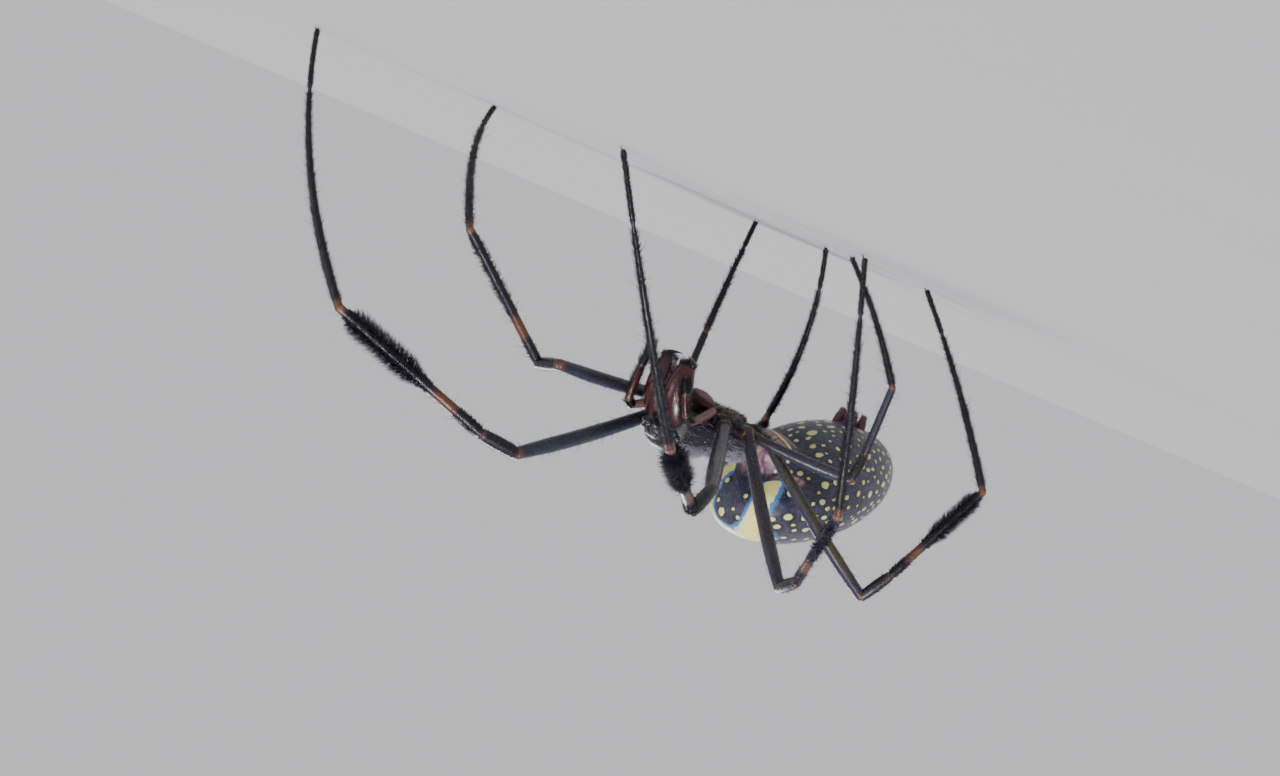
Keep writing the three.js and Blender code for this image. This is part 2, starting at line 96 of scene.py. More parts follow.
def smooth(low, high, value):
    t = np.clip((np.asarray(value, float) - low) / (high - low), 0, 1)
    return t * t * (3 - 2 * t)


def paint(code):
    """A colour written as on screen, as the linear values that a shader takes; numbers stay."""
    if not isinstance(code, str):
        return np.asarray(code, float)
    value = np.array([int(code[i:i + 2], 16) / 255 for i in (0, 2, 4)])
    return np.where(value <= 0.04045, value / 12.92, ((value + 0.055) / 1.055) ** 2.4)


def mix(a, b, t):
    """From a to b by the share t. Both are numbers, places or colours."""
    a, b, t = paint(a), paint(b), np.asarray(t, float)
    if a.ndim or b.ndim:
        t = t[..., None]
    return a * (1 - t) + b * t


def ease(s):
    """0 to 1, slow at both ends, so that the rings crowd at the poles."""
    return 0.5 - 0.5 * cos(pi * np.clip(s, 0, 1))


def rounded(s, power):
    """A girth that starts and ends at nothing; a low power gives blunt ends."""
    return sin(pi * np.clip(s, 0, 1)) ** power


def pod(start, end, wide, tall, power):
    """A body drawn from start to end, both as ahead, right and rise, with rounded ends."""
    def place(s, turn):
        ahead, right, rise = [mix(a, b, s) for a, b in zip(start, end)]
        girth = rounded(s, power)
        return spot(ahead, right + wide * girth * cos(turn), rise + tall * girth * sin(turn))
    return place


def ball(centre, half):
    def place(s, turn):
        level = sin(pi * s)
        return spot(centre[0] + half[0] * level * cos(turn),
                    centre[1] + half[1] * level * sin(turn), centre[2] - half[2] * cos(pi * s))
    return place


def bowed(start, middle, end, t):
    return (1 - t) ** 2 * start + 2 * t * (1 - t) * middle + t * t * end


def layered(colour, *layers):
    """A colour with others laid over it, each by its own share."""
    for over, share in layers:
        colour = mix(colour, over, share)
    return colour


print("middle of the hips at", spot(0, 0, 0), "mm")


# %% [markdown]
# ## The camera
# Living, this animal hangs with its underside turned to the viewer. Set on a floor it is seen from
# the same side of its head, with the lens as low as the floor allows, and the camera is rolled so
# that the head points left and the feet point up. It is turned in a few rounds until the hips
# stand at their own place in the frame.

# %% Camera
VIEW_HEADING = math.radians(42)
LENS_DISTANCE = 300
LENS_HEIGHT = 5
LENS_ROLL = math.radians(-157)
FRAME_WIDTH = 106
FRAME_PIXELS = (1280, 776)
HIPS_PIXEL = (719.6, 416.9)
HIPS_IN_FRAME = (HIPS_PIXEL[0] - FRAME_PIXELS[0] / 2, FRAME_PIXELS[1] / 2 - HIPS_PIXEL[1])


def place_camera():
    pixel = FRAME_WIDTH / FRAME_PIXELS[0]
    hips = Vector(spot(0, 0, 0))
    away = Vector((-math.sin(VIEW_HEADING), -math.cos(VIEW_HEADING), 0))
    seat = hips + away * LENS_DISTANCE
    seat.z = LENS_HEIGHT
    forward = (hips - seat).normalized()
    for _ in range(3):
        level = forward.cross(Vector((0, 0, 1))).normalized()
        lift = level.cross(forward)
        right = math.cos(LENS_ROLL) * level + math.sin(LENS_ROLL) * lift
        up = -math.sin(LENS_ROLL) * level + math.cos(LENS_ROLL) * lift
        aim = hips - right * HIPS_IN_FRAME[0] * pixel - up * HIPS_IN_FRAME[1] * pixel
        forward = (aim - seat).normalized()
    bpy.ops.object.camera_add()
    camera = bpy.context.object
    turn = Matrix((right, up, -forward)).transposed().to_4x4()
    camera.matrix_world = Matrix.Translation(seat * MM) @ turn
    camera.data.angle = 2 * math.atan(FRAME_WIDTH / 2 / LENS_DISTANCE)
    camera.data.clip_start = 0.01
    camera.data.clip_end = 20
    bpy.context.scene.camera = camera


bpy.ops.object.select_all(action="DESELECT")
place_camera()
print("camera at", [round(x, 3) for x in bpy.context.scene.camera.location])

# %% [markdown]
# ## Shader maths
# A finish is drawn from plain sums on values. One small class wraps a socket, so that `1 - mask` or
# `speckle * 0.3` adds the right Math node, and one method makes every other node.


# %% Sums on a socket
class Wire:
    def __init__(self, finish, socket):
        self.finish, self.socket = finish, socket

    def sum(self, kind, a, b):
        return self.finish.node("ShaderNodeMath", {"operation": kind}, {0: a, 1: b})

    def __add__(self, other):
        return self.sum("ADD", self, other)

    def __sub__(self, other):
        return self.sum("SUBTRACT", self, other)

    def __rsub__(self, other):
        return self.sum("SUBTRACT", other, self)

    def __mul__(self, other):
        return self.sum("MULTIPLY", self, other)

    __radd__ = __add__
    __rmul__ = __mul__

    def step(self, low, high):
        """0 below low and 1 above high, or the other way round where low is the larger."""
        flip = low > high
        values = {"Value": self, "From Min": min(low, high), "From Max": max(low, high),
                  "To Min": 1.0 if flip else 0.0, "To Max": 0.0 if flip else 1.0}
        return self.finish.node("ShaderNodeMapRange", {"interpolation_type": "SMOOTHSTEP"}, values)


# %% [markdown]
# A finish is one material with its main shader. Plain values go straight to the shader's sockets,
# and whatever varies over the piece is built up from noise, cells and the marks on the mesh.


# %% A finish
class Finish:
    def __init__(self, name, **plain):
        self.material = bpy.data.materials.new(name)
        self.material.use_nodes = True
        self.tree = self.material.node_tree
        self.shader = self.tree.nodes["Principled BSDF"]
        for socket, value in plain.items():
            self.put(self.shader.inputs[socket.replace("_", " ")], value)

    def put(self, socket, value):
        if isinstance(value, Wire):
            self.tree.links.new(value.socket, socket)
        elif socket.type == "RGBA":
            socket.default_value = (*paint(value), 1)
        else:
            socket.default_value = value

    def node(self, kind, settings=None, values=None, output=0):
        made = self.tree.nodes.new(kind)
        for key, value in (settings or {}).items():
            setattr(made, key, value)
        for key, value in (values or {}).items():
            self.put(made.inputs[key], value)
        return Wire(self, made.outputs[output])

    def blend(self, mask, a, b):
        return self.node("ShaderNodeMix", {"data_type": "RGBA"}, {0: mask, 6: a, 7: b}, 2)

    def place(self):
        return self.node("ShaderNodeTexCoord", output=3)

    def noise(self, per_mm, detail=3.0):
        values = {"Vector": self.place(), "Scale": per_mm / MM, "Detail": detail, "Roughness": 0.55}
        return self.node("ShaderNodeTexNoise", None, values)

    def cells(self, per_mm):
        values = {"Vector": self.place(), "Scale": per_mm / MM}
        return self.node("ShaderNodeTexVoronoi", {"feature": "F1"}, values)

    def attribute(self, name, output):
        return self.node("ShaderNodeAttribute", {"attribute_name": name}, output=output)

    def value(self, name):
        return self.attribute(name, 2)

    def bump(self, height, depth_mm, strength=1.0):
        values = {"Height": height, "Distance": depth_mm * MM, "Strength": strength}
        return self.node("ShaderNodeBump", None, values)

    def wear(self, **sockets):
        for name, value in sockets.items():
            self.put(self.shader.inputs[name.replace("_", " ")], value)
        return self.material


# %% [markdown]
# ## Making a piece
# A spider's plates are closed, curved and tapered, and no run of extrusions gives them well. Each
# starts as a sphere primitive, whose rings are then carried one by one to their place along the
# plate, so the poles stay closed and no seam is left.

# %% Making a piece
def deselect():
    if bpy.context.mode != "OBJECT":
        bpy.ops.object.mode_set(mode="OBJECT")
    bpy.ops.object.select_all(action="DESELECT")


def grown(name, rings, sides, place, marks=None):
    """A sphere whose vertices go to place(s, turn): s runs 0 to 1 from pole to pole."""
    deselect()
    bpy.ops.mesh.primitive_uv_sphere_add(segments=sides, ring_count=rings, radius=1)
    piece = bpy.context.object
    piece.name = piece.data.name = name
    mesh = piece.data
    co = np.zeros(len(mesh.vertices) * 3)
    mesh.vertices.foreach_get("co", co)
    co = co.reshape(-1, 3)
    s = np.arccos(np.clip(-co[:, 2], -1, 1)) / pi
    turn = np.arctan2(co[:, 1], co[:, 0])
    mesh.vertices.foreach_set("co", place(s, turn).ravel())
    for key, value in (marks(s, turn) if marks else {}).items():
        add_mark(mesh, key, value)
    mesh.update()
    outward(piece)
    return piece


def add_mark(mesh, key, value):
    value = np.asarray(value, float)
    if value.ndim == 2:
        layer = mesh.attributes.new(key, "FLOAT_COLOR", "POINT")
        rgba = np.concatenate([value, np.ones((len(value), 1))], 1)
        layer.data.foreach_set("color", rgba.ravel())
    else:
        layer = mesh.attributes.new(key, "FLOAT", "POINT")
        layer.data.foreach_set("value", value)


def outward(piece):
    deselect()
    piece.select_set(True)
    bpy.context.view_layer.objects.active = piece
    bpy.ops.object.mode_set(mode="EDIT")
    bpy.ops.mesh.select_all(action="SELECT")
    bpy.ops.mesh.normals_make_consistent(inside=False)
    bpy.ops.object.mode_set(mode="OBJECT")


def joined(name, parts):
    deselect()
    for part in parts:
        part.select_set(True)
    bpy.context.view_layer.objects.active = parts[0]
    if len(parts) > 1:
        bpy.ops.object.join()
    whole = bpy.context.object
    whole.name = whole.data.name = name
    return whole


# %% [markdown]
# Each finished piece is brought to metres, gets its material and rides on the body. Small hooks,
# such as claws, are extruded from a circle along a path.


# %% Finishing a piece, and hooks
def finished(piece, material, nodes=()):
    """Smooth, in metres, dressed, and declared to the frame."""
    piece.data.transform(Matrix.Scale(MM, 4))
    for face in piece.data.polygons:
        face.use_smooth = True
    piece.data.materials.clear()
    piece.data.materials.append(material)
    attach(piece, "root")
    if nodes:
        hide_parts(*nodes)


def hook(name, path, radii, sides=10):
    """A circle extruded along a path of points, narrowing as it goes, with both ends closed."""
    deselect()
    path = [Vector(p) for p in path]
    bpy.ops.mesh.primitive_circle_add(vertices=sides, radius=radii[0], fill_type="NGON")
    piece = bpy.context.object
    way = (path[1] - path[0]).normalized()
    turned = way.to_track_quat("Z", "Y").to_matrix().to_4x4()
    piece.data.transform(Matrix.Translation(path[0]) @ turned)
    bpy.ops.object.mode_set(mode="EDIT")
    bpy.ops.mesh.select_all(action="SELECT")
    for i in range(1, len(path)):
        stride = path[i] - path[i - 1]
        bpy.ops.mesh.extrude_region_move(TRANSFORM_OT_translate={"value": stride})
        size = radii[i] / radii[i - 1]
        bpy.ops.transform.resize(value=(size, size, size), center_override=path[i])
    bpy.ops.object.mode_set(mode="OBJECT")
    piece.name = piece.data.name = name
    outward(piece)
    return piece


def tinted(piece, colour):
    add_mark(piece.data, "tint", np.tile(paint(colour), (len(piece.data.vertices), 1)))
    return piece


# %% [markdown]
# ## Hairs
# Each hair is a thin closed cone of three sides, bent once towards the lie of the coat unless it is
# laid straight. Thousands are written into one mesh as arrays, because a copy for each would be far
# too slow. Each keeps a small patch of the map OFBake, placed from its root's place on the skin.

# %% Hairs
PATCH = 0.003
FLOOR_GAP = 0.004


def add_hairs(name, coats, material, bent=True):
    """coats: list of dicts with root, way, droop, length, width, tint and patch arrays."""
    keys = ("root", "way", "droop", "length", "width", "tint", "patch")
    root, way, droop, length, width, tint, patch = [
        np.concatenate([laid[key] for laid in coats]) for key in keys]
    count = len(root)
    side = unit(np.cross(way, rng.normal(size=(count, 3))))
    other = np.cross(way, side)
    angle = np.arange(3) * 2 * pi / 3
    ring = side[:, None] * cos(angle)[None, :, None]
    ring = ring + other[:, None] * sin(angle)[None, :, None]
    base = root[:, None] + ring * width[:, None, None]
    tip = root + way * length[:, None] + droop * length[:, None]
    if bent:
        middle = root + way * length[:, None] * 0.55 + droop * length[:, None] * 0.25
        belt = middle[:, None] + ring * width[:, None, None] * 0.7
        points = np.concatenate([base, belt, tip[:, None]], 1)
        corner = [[0, 2, 1], [0, 1, 4], [0, 4, 3], [1, 2, 5], [1, 5, 4], [2, 0, 3], [2, 3, 5],
                  [3, 4, 6], [4, 5, 6], [5, 3, 6]]
    else:
        points = np.concatenate([base, tip[:, None]], 1)
        corner = [[0, 2, 1], [0, 1, 3], [1, 2, 3], [2, 0, 3]]
    points[..., 2] = np.maximum(points[..., 2], FLOOR_GAP)
    each = points.shape[1]
    faces = np.array(corner)[None] + (np.arange(count) * each)[:, None, None]
    mesh = bpy.data.meshes.new(name)
    mesh.from_pydata(points.reshape(-1, 3), [], faces.reshape(-1, 3).tolist())
    add_mark(mesh, "tint", np.repeat(tint, each, 0))
    layer = mesh.uv_layers.new(name="OFBake")
    wedge = np.array([[0, 0], [1, 0], [0.5, 1]])
    uv = patch[:, None, None] + (wedge - 0.5)[None, None] * PATCH
    layer.data.foreach_set("uv", np.broadcast_to(uv, (count, len(corner), 3, 2)).ravel())
    piece = bpy.data.objects.new(name, mesh)
    bpy.context.collection.objects.link(piece)
    finished(piece, material)
    print(name, count, "hairs", count * len(corner), "triangles")


# %% [markdown]
# A coat needs the points where its hairs root, the way out of the skin and the way that the coat
# lies. Each hair leans from the one to the other, with some stray of its own.


# %% Laying a coat
def on_surface(place, s, turn):
    """Points, outward normals and lengthwise directions of a grown shape."""
    point, nudge = place(s, turn), 1e-3
    along = place(s + nudge, turn) - place(s - nudge, turn)
    round_it = place(s, turn + nudge) - place(s, turn - nudge)
    normal = unit(np.cross(round_it, along))
    centre = point * 0.5 + place(s, turn + pi) * 0.5
    normal *= np.sign((normal * (point - centre)).sum(-1, keepdims=True))
    return point, normal, unit(along)


def coat(point, normal, lie, length, width, tint, patch, lift=0.4, spread=0.25, curl=0.3):
    count = len(point)
    stray = rng.normal(size=(count, 3)) * spread
    way = unit(normal * lift + lie * (1 - lift) + stray)
    way = unit(way + normal * np.maximum(0, 0.12 - (way * normal).sum(-1, keepdims=True)))
    droop = lie * curl - normal * curl * 0.3
    return {"root": point - normal * 0.02, "way": way, "droop": droop,
            "length": np.broadcast_to(length, count) * rng.uniform(0.7, 1.2, count),
            "width": np.broadcast_to(width, count).astype(float),
            "tint": np.broadcast_to(paint(tint), (count, 3)) * rng.uniform(0.75, 1.25, (count, 1)),
            "patch": np.asarray(patch)}


# %% [markdown]
# ## Finishes
# A spider's shell is a thin glossy cuticle over darker layers, with a fine grain that breaks its
# highlights. The colours of a leg change along it, so they are written on the mesh as a tint, and
# the shader adds what is finer: the grain, small pale bumps and changes of gloss.


# %% Cuticle, hair and eye finishes
def cuticle(name, roughness, grain_mm, grain_depth, coat_weight, bumps=0.0, sheen=0.0):
    f = Finish(name, IOR=1.42, Coat_Weight=coat_weight, Coat_Roughness=0.1, Sheen_Weight=sheen,
               Sheen_Roughness=0.4, Sheen_Tint=(0.75, 0.7, 1.0))
    tint = f.attribute("tint", 0)
    cloud = f.noise(0.9)
    cooler = f.node("ShaderNodeMix", {"data_type": "RGBA", "blend_type": "MULTIPLY"},
                    {0: 1.0, 6: tint, 7: (0.42, 0.4, 0.62)}, 2)
    colour = f.blend(cloud.step(0.35, 0.75) * 0.45, tint, cooler)
    height = f.noise(1 / grain_mm, 2.0)
    if bumps:
        peak = f.cells(2.3).step(0.2, 0.02)
        colour = f.blend(peak * bumps, colour, "77706e")
        height = height + peak * 2.5
    return f.wear(Base_Color=colour, Roughness=cloud * 0.25 + roughness,
                  Normal=f.bump(height, grain_depth))


def hair_finish(name, shine):
    f = Finish(name, IOR=1.4)
    return f.wear(Base_Color=f.attribute("tint", 0), Roughness=f.noise(3.0) * 0.2 + 0.35,
                  Coat_Weight=shine, Coat_Roughness=0.25)


LEG_SHELL = cuticle("leg_cuticle", 0.16, 0.07, 0.03, 0.15, bumps=0.3)
BODY_SHELL = cuticle("body_cuticle", 0.16, 0.06, 0.03, 0.15)
JAW_SHELL = cuticle("jaw_cuticle", 0.06, 0.14, 0.035, 0.3)
SOFT_SKIN = cuticle("soft_membrane", 0.32, 0.05, 0.05, 0.2, sheen=0.05)
EYE_SHELL = Finish("eye_lens", Base_Color=(0.004, 0.004, 0.006), Roughness=0.04, IOR=1.5,
                   Coat_Weight=1.0, Coat_Roughness=0.02).material
HAIR, DOWN = hair_finish("dark_hair", 0.1), hair_finish("pale_hair", 0.2)
print("finishes", len(bpy.data.materials))

# %% [markdown]
# ## The abdomen
# The abdomen is the one soft part: a long blunt barrel, high in front, with a low lobe that reaches
# down to the waist. Both are grown as the solids are, then merged by a voxel remesh into one skin,
# so no seam shows where they meet, and smoothed. It lies inside the solid by the depth of its down.

# %% Abdomen skin
ABDOMEN_FRONT, ABDOMEN_LENGTH = -4.9, 18.6
ABDOMEN_HALF_WIDTH, ABDOMEN_HALF_HEIGHT = 5.8, 5.5
ABDOMEN_RISE, ABDOMEN_SIDE = (4.9, 0.0), (0.6, -1.6)
GIRTH_FRONT, GIRTH_REAR = 0.31, 0.43
FRONT_OVERHANG, BELLY_SLOPE = 1.3, 3.0
LOBE = pod((-4.4, 0.2, 1.1), (-11.4, 0.2, 2.7), wide=3.24, tall=2.34, power=0.6)
WAIST_END = (-5.6, 0.1, 1.1)
DOWN_DEPTH = 0.06
SKIN_VOXEL = 0.13


def barrel(s, turn):
    eased = ease(s)
    peak = GIRTH_FRONT / (GIRTH_FRONT + GIRTH_REAR)
    fullest = peak ** GIRTH_FRONT * (1 - peak) ** GIRTH_REAR
    girth = eased ** GIRTH_FRONT * (1 - eased) ** GIRTH_REAR / fullest
    across = np.maximum(ABDOMEN_HALF_WIDTH * girth - DOWN_DEPTH, 0) * cos(turn)
    lift = np.maximum(ABDOMEN_HALF_HEIGHT * girth - DOWN_DEPTH, 0) * sin(turn)
    lean = np.where(lift > 0, FRONT_OVERHANG, BELLY_SLOPE) * (lift / ABDOMEN_HALF_HEIGHT)
    lean = lean * (1 - eased) ** 3
    ahead = ABDOMEN_FRONT - ABDOMEN_LENGTH * eased + lean
    return spot(ahead, mix(*ABDOMEN_SIDE, eased) + across, mix(*ABDOMEN_RISE, eased) + lift)


def merged_skin(name, parts, voxel, smoothing):
    skin = joined(name, parts)
    remesh = skin.modifiers.new("one skin", "REMESH")
    remesh.mode = "VOXEL"
    remesh.voxel_size = voxel
    bpy.ops.object.modifier_apply(modifier=remesh.name)
    soft = skin.modifiers.new("soft", "SMOOTH")
    soft.factor, soft.iterations = 0.5, smoothing
    bpy.ops.object.modifier_apply(modifier=soft.name)
    return skin


def vertices_of(piece):
    co = np.zeros(len(piece.data.vertices) * 3)
    no = np.zeros(len(piece.data.vertices) * 3)
    piece.data.vertices.foreach_get("co", co)
    piece.data.vertices.foreach_get("normal", no)
    return co.reshape(-1, 3), no.reshape(-1, 3)


lumps = [grown("barrel", 96, 96, barrel), grown("lobe", 32, 40, LOBE)]
abdomen_skin = merged_skin("abdomen_skin", lumps, SKIN_VOXEL, 8)
skin_points, skin_normals = vertices_of(abdomen_skin)
print("abdomen skin", len(skin_points), "vertices")

# %% [markdown]
# ## The markings of the abdomen
# Cream spots with dark rims lie all over a slate ground, about a millimetre apart and never
# touching. They are placed here by a seeded draw that keeps them apart, on the skin itself. Each
# vertex then gets its distance to the nearest spot's edge, and the shader cuts a crisp edge there.
# A bright band crosses the front and a thin line crosses the belly behind the lobe.


# %% Places and gaps on the skin
FAR = 9.0
SPOT_REACH = 2.2
SPOT_TRIES = 6000
SMALLEST_SPOT, SPOT_RANGE = 0.12, 0.27
SPOT_CLEAR = 0.45


def own_places(points):
    return MIDDLE_AHEAD - points[:, 1], MIDDLE_RIGHT - points[:, 0], points[:, 2] - HIP_HEIGHT


def spot_gap(points, centres, long_half, short_half, axis):
    gap = np.full(len(points), FAR)
    for centre, a, b in zip(centres, long_half, short_half):
        near = np.abs(points - centre).max(1) < SPOT_REACH
        v = points[near] - centre
        along = v @ axis
        aside = np.sqrt(np.maximum((v * v).sum(1) - along ** 2, 0))
        gap[near] = np.minimum(gap[near], (np.sqrt((along / a) ** 2 + (aside / b) ** 2) - 1) * b)
    return gap


def scattered(points, normals, tries):
    """Places drawn one after the other, each kept only if it is clear of all that came before."""
    kept, halves = [], []
    for i in rng.choice(len(points), tries, replace=False):
        small = 0.3 * smooth(15.0, 22.0, points[i][1] - MIDDLE_AHEAD)
        half = (SMALLEST_SPOT + SPOT_RANGE * rng.random() ** 1.1) * (1 - small)
        room = 0.5 if normals[i][2] < 0.45 else 0.85
        there, sizes = points[kept], np.array(halves)
        apart = np.linalg.norm(there - points[i], axis=1) if kept else FAR
        if not kept or np.all(apart > half + sizes + room * (SPOT_CLEAR + half + sizes)):
            kept.append(i)
            halves.append(half)
    return np.array(kept), np.array(halves)


def polyline_gap(x, y, corners, half):
    gap = np.full(len(x), FAR)
    for (x0, y0), (x1, y1) in zip(corners, corners[1:]):
        dx, dy = x1 - x0, y1 - y0
        t = np.clip(((x - x0) * dx + (y - y0) * dy) / (dx * dx + dy * dy), 0, 1)
        gap = np.minimum(gap, np.hypot(x - x0 - t * dx, y - y0 - t * dy))
    return gap - half


# %% [markdown]
# The band is a ring of uneven width round the front end, and the pink flesh lies before the belly
# line. Spots that would touch either are dropped, as the real ones keep clear of both.

# %% Spots, band and belly line
AXIS = unit(way_to(-1, -0.12, -0.26))
BELLY_LINE = [(-7.9, -3.9), (-6.6, -1.4), (-6.5, 1.4), (-6.9, 2.5)]
BAND_RADIUS, BAND_HALF, LINE_HALF = 2.75, 0.55, 0.17
kept, size = scattered(skin_points, skin_normals, SPOT_TRIES)
skin_ahead, skin_right, skin_rise = own_places(skin_points)
aside, above = skin_right - ABDOMEN_SIDE[0], skin_rise - ABDOMEN_RISE[0]
front_radius, front_way = np.hypot(aside, above), np.arctan2(above, np.abs(aside))
band_radius = BAND_RADIUS + 1.5 * smooth(0.2, 1.5, front_way)
on_front = np.where(skin_ahead > -9.0, 0, 5) + 6 * smooth(-0.55, -0.95, front_way)
band_gap = np.abs(front_radius - band_radius) - BAND_HALF + on_front
under = np.where(skin_normals[:, 2] < 0.35, 0, 3)
line_gap = polyline_gap(skin_ahead, skin_right, BELLY_LINE, LINE_HALF) + under
line_ahead = np.interp(np.abs(skin_right + 0.1), [0, 1.4, 3.4, 4.6], [-6.45, -6.5, -7.2, -8.2])
epigastric = smooth(-0.3, -0.6, skin_normals[:, 2]) * smooth(0.1, 0.5, skin_ahead - line_ahead)
epigastric *= smooth(3.6, 2.2, skin_rise)
waist_near = smooth(3.0, 2.0, np.hypot(skin_right - WAIST_END[1], skin_rise - WAIST_END[2]))
epigastric = np.maximum(epigastric, 0.8 * waist_near * smooth(-7.5, -6.5, skin_ahead))
clear = (np.minimum(band_gap, line_gap)[kept] > SPOT_CLEAR) & (epigastric[kept] < 0.2)
clear &= front_radius[kept] > 1.2
kept, size = kept[clear], size[clear]
stretch = 1 + 0.9 * rng.random(len(kept)) ** 2 + 0.5 * smooth(-16, -21, skin_ahead[kept])
gap = spot_gap(skin_points, skin_points[kept], size * stretch, size, AXIS)
dorsal, rear = smooth(0.2, 0.75, skin_normals[:, 2]), smooth(-17, -23, skin_ahead)
for key, value in {"spot_gap": gap, "band_gap": band_gap, "line_gap": line_gap,
                   "epigastric": epigastric, "dorsal": dorsal, "rear": rear}.items():
    add_mark(abdomen_skin.data, key, value)
print("spots", len(kept))


# %% [markdown]
# The finish lays the colours on one by one: clouds on the slate ground, then rims and spots, the
# streaked flesh of the lobe, the belly line, and last the band with its blue margins.

# %% Finish of the abdomen
def abdomen_finish():
    f = Finish("abdomen_skin", IOR=1.48, Sheen_Weight=0.12, Sheen_Roughness=0.35,
               Sheen_Tint=(0.72, 0.68, 1.0), Coat_Roughness=0.3)
    ground = "171c33"
    for per_mm, detail, low, high, share, tone in (
            (0.55, 4.0, 0.35, 0.68, 1.0, "2f3048"), (0.9, 5.0, 0.45, 0.7, 0.65, "3d2f52"),
            (3.4, 3.0, 0.45, 0.8, 0.4, "0d0e1a")):
        ground = f.blend(f.noise(per_mm, detail).step(low, high) * share, ground, tone)
    for mask, share, tone in (("dorsal", 0.35, "3f4338"), ("rear", 0.6, "0e0b14")):
        ground = f.blend(f.value(mask) * share, ground, tone)
    edge = f.noise(2.6, 3.0) * 0.24 - 0.12
    spots = f.value("spot_gap") + edge
    ground = f.blend(spots.step(0.34, 0.1) * 0.75, ground, "090a16")
    cream = f.blend(f.noise(1.7), "d9cd78", "c9c294")
    colour = f.blend(spots.step(0.04, -0.05), ground, cream)
    streak = f.node("ShaderNodeMapping", {"vector_type": "POINT"},
                    {"Vector": f.place(), "Scale": (2600.0, 500.0, 900.0)})
    stripes = f.node("ShaderNodeTexNoise", None,
                     {"Vector": streak, "Scale": 1.0, "Detail": 4.0, "Roughness": 0.6})
    flesh = f.blend(stripes.step(0.38, 0.62), "5c2844", "b48f86")
    flesh = f.blend(f.noise(1.2, 2.0).step(0.55, 0.7) * 0.7, flesh, "7d3f66")
    colour = f.blend(f.value("epigastric") * 0.92, colour, flesh)
    line = f.value("line_gap") + edge * 0.8
    band = f.value("band_gap") + edge * 2.2
    for mark, outer, inner, share, tone in (
            (line, 0.2, 0.06, 0.7, "0a0b18"), (line, 0.04, -0.05, 1.0, "d8c978"),
            (band, 0.55, 0.3, 1.0, "44709f"), (band, 0.16, 0.1, 1.0, "b7c4d0"),
            (band, 0.05, -0.05, 1.0, "e2da80")):
        colour = f.blend(mark.step(outer, inner) * share, colour, tone)
    wrinkle = f.noise(2.2, 5.0) + spots.step(0.1, -0.1) * 0.35
    return f.wear(Base_Color=colour, Roughness=f.noise(1.6) * 0.3 + 0.28, Coat_Weight=0.12,
                  Normal=f.bump(wrinkle, 0.09, 0.8))


ABDOMEN_SKIN = abdomen_finish()
print("nodes in the abdomen finish", len(ABDOMEN_SKIN.node_tree.nodes))

# %% [markdown]
# ## Down on the abdomen
# Fine pale hairs lie back along the abdomen. They are too thin to hide the markings, but they make
# the silvery rim that the sides show, so they are short, sparse and pale.

# %% Down on the abdomen
DOWN_HAIRS = 15000
pick = rng.choice(len(skin_points), DOWN_HAIRS, replace=False)
lie = unit(AXIS[None] - skin_normals[pick] * (skin_normals[pick] @ AXIS)[:, None])
around = np.arctan2(skin_rise[pick] - mix(*ABDOMEN_RISE, 0.5), skin_right[pick]) / (2 * pi) + 0.5
back = np.clip((ABDOMEN_FRONT + 2 - skin_ahead[pick]) / 22, 0, 1)
patches = np.stack([0.02 + 0.96 * back, 0.02 + 0.96 * around], -1)
silver = layered(mix("9a94b0", "6f6a8c", rng.random(len(pick))),
                 ("d9cd78", 0.7 * smooth(0.05, -0.05, gap[pick])),
                 ("e2da80", 0.7 * smooth(0.05, -0.05, np.minimum(band_gap, line_gap)[pick])),
                 ("b48f86", 0.6 * epigastric[pick]))
down = coat(skin_points[pick], skin_normals[pick], lie, 0.34, 0.008, silver, patches, lift=0.3)
add_hairs("abdomen_down", [down], DOWN, bent=False)
finished(abdomen_skin, ABDOMEN_SKIN, ["abdomen"])

# %% [markdown]
# ## The carapace
# The head is a raised, rounded box in front, and the broad thorax behind it has a dimple in its
# middle with faint furrows that run out from it. It is dark violet, almost black, under flat
# silvery hair that leaves bare spots. The middle eyes sit on a low mound above the jaws.

# %% Carapace
CARAPACE_LENGTH = 10.5
SHELL_REAR = -3.75
SHELL_FRONT = SHELL_REAR + CARAPACE_LENGTH
SHELL_MARGIN = 0.95
SHELL_VOXEL = 0.09
HEAD_HALF_WIDTH, THORAX_HALF_WIDTH = 2.65, 3.7
HEAD_HEIGHT, THORAX_HEIGHT = 3.3, 2.4
REAR_ROUND, NOSE_START = -0.6, 4.3
DIMPLE_DEPTH, GROOVE_DEPTH = 0.35, 0.16
EYE_MOUND, EYE_MOUND_HALF = (6.55, 0.0, 2.75), (0.84, 0.86, 0.8)


def raised(value, power):
    return np.sign(value) * np.abs(value) ** power


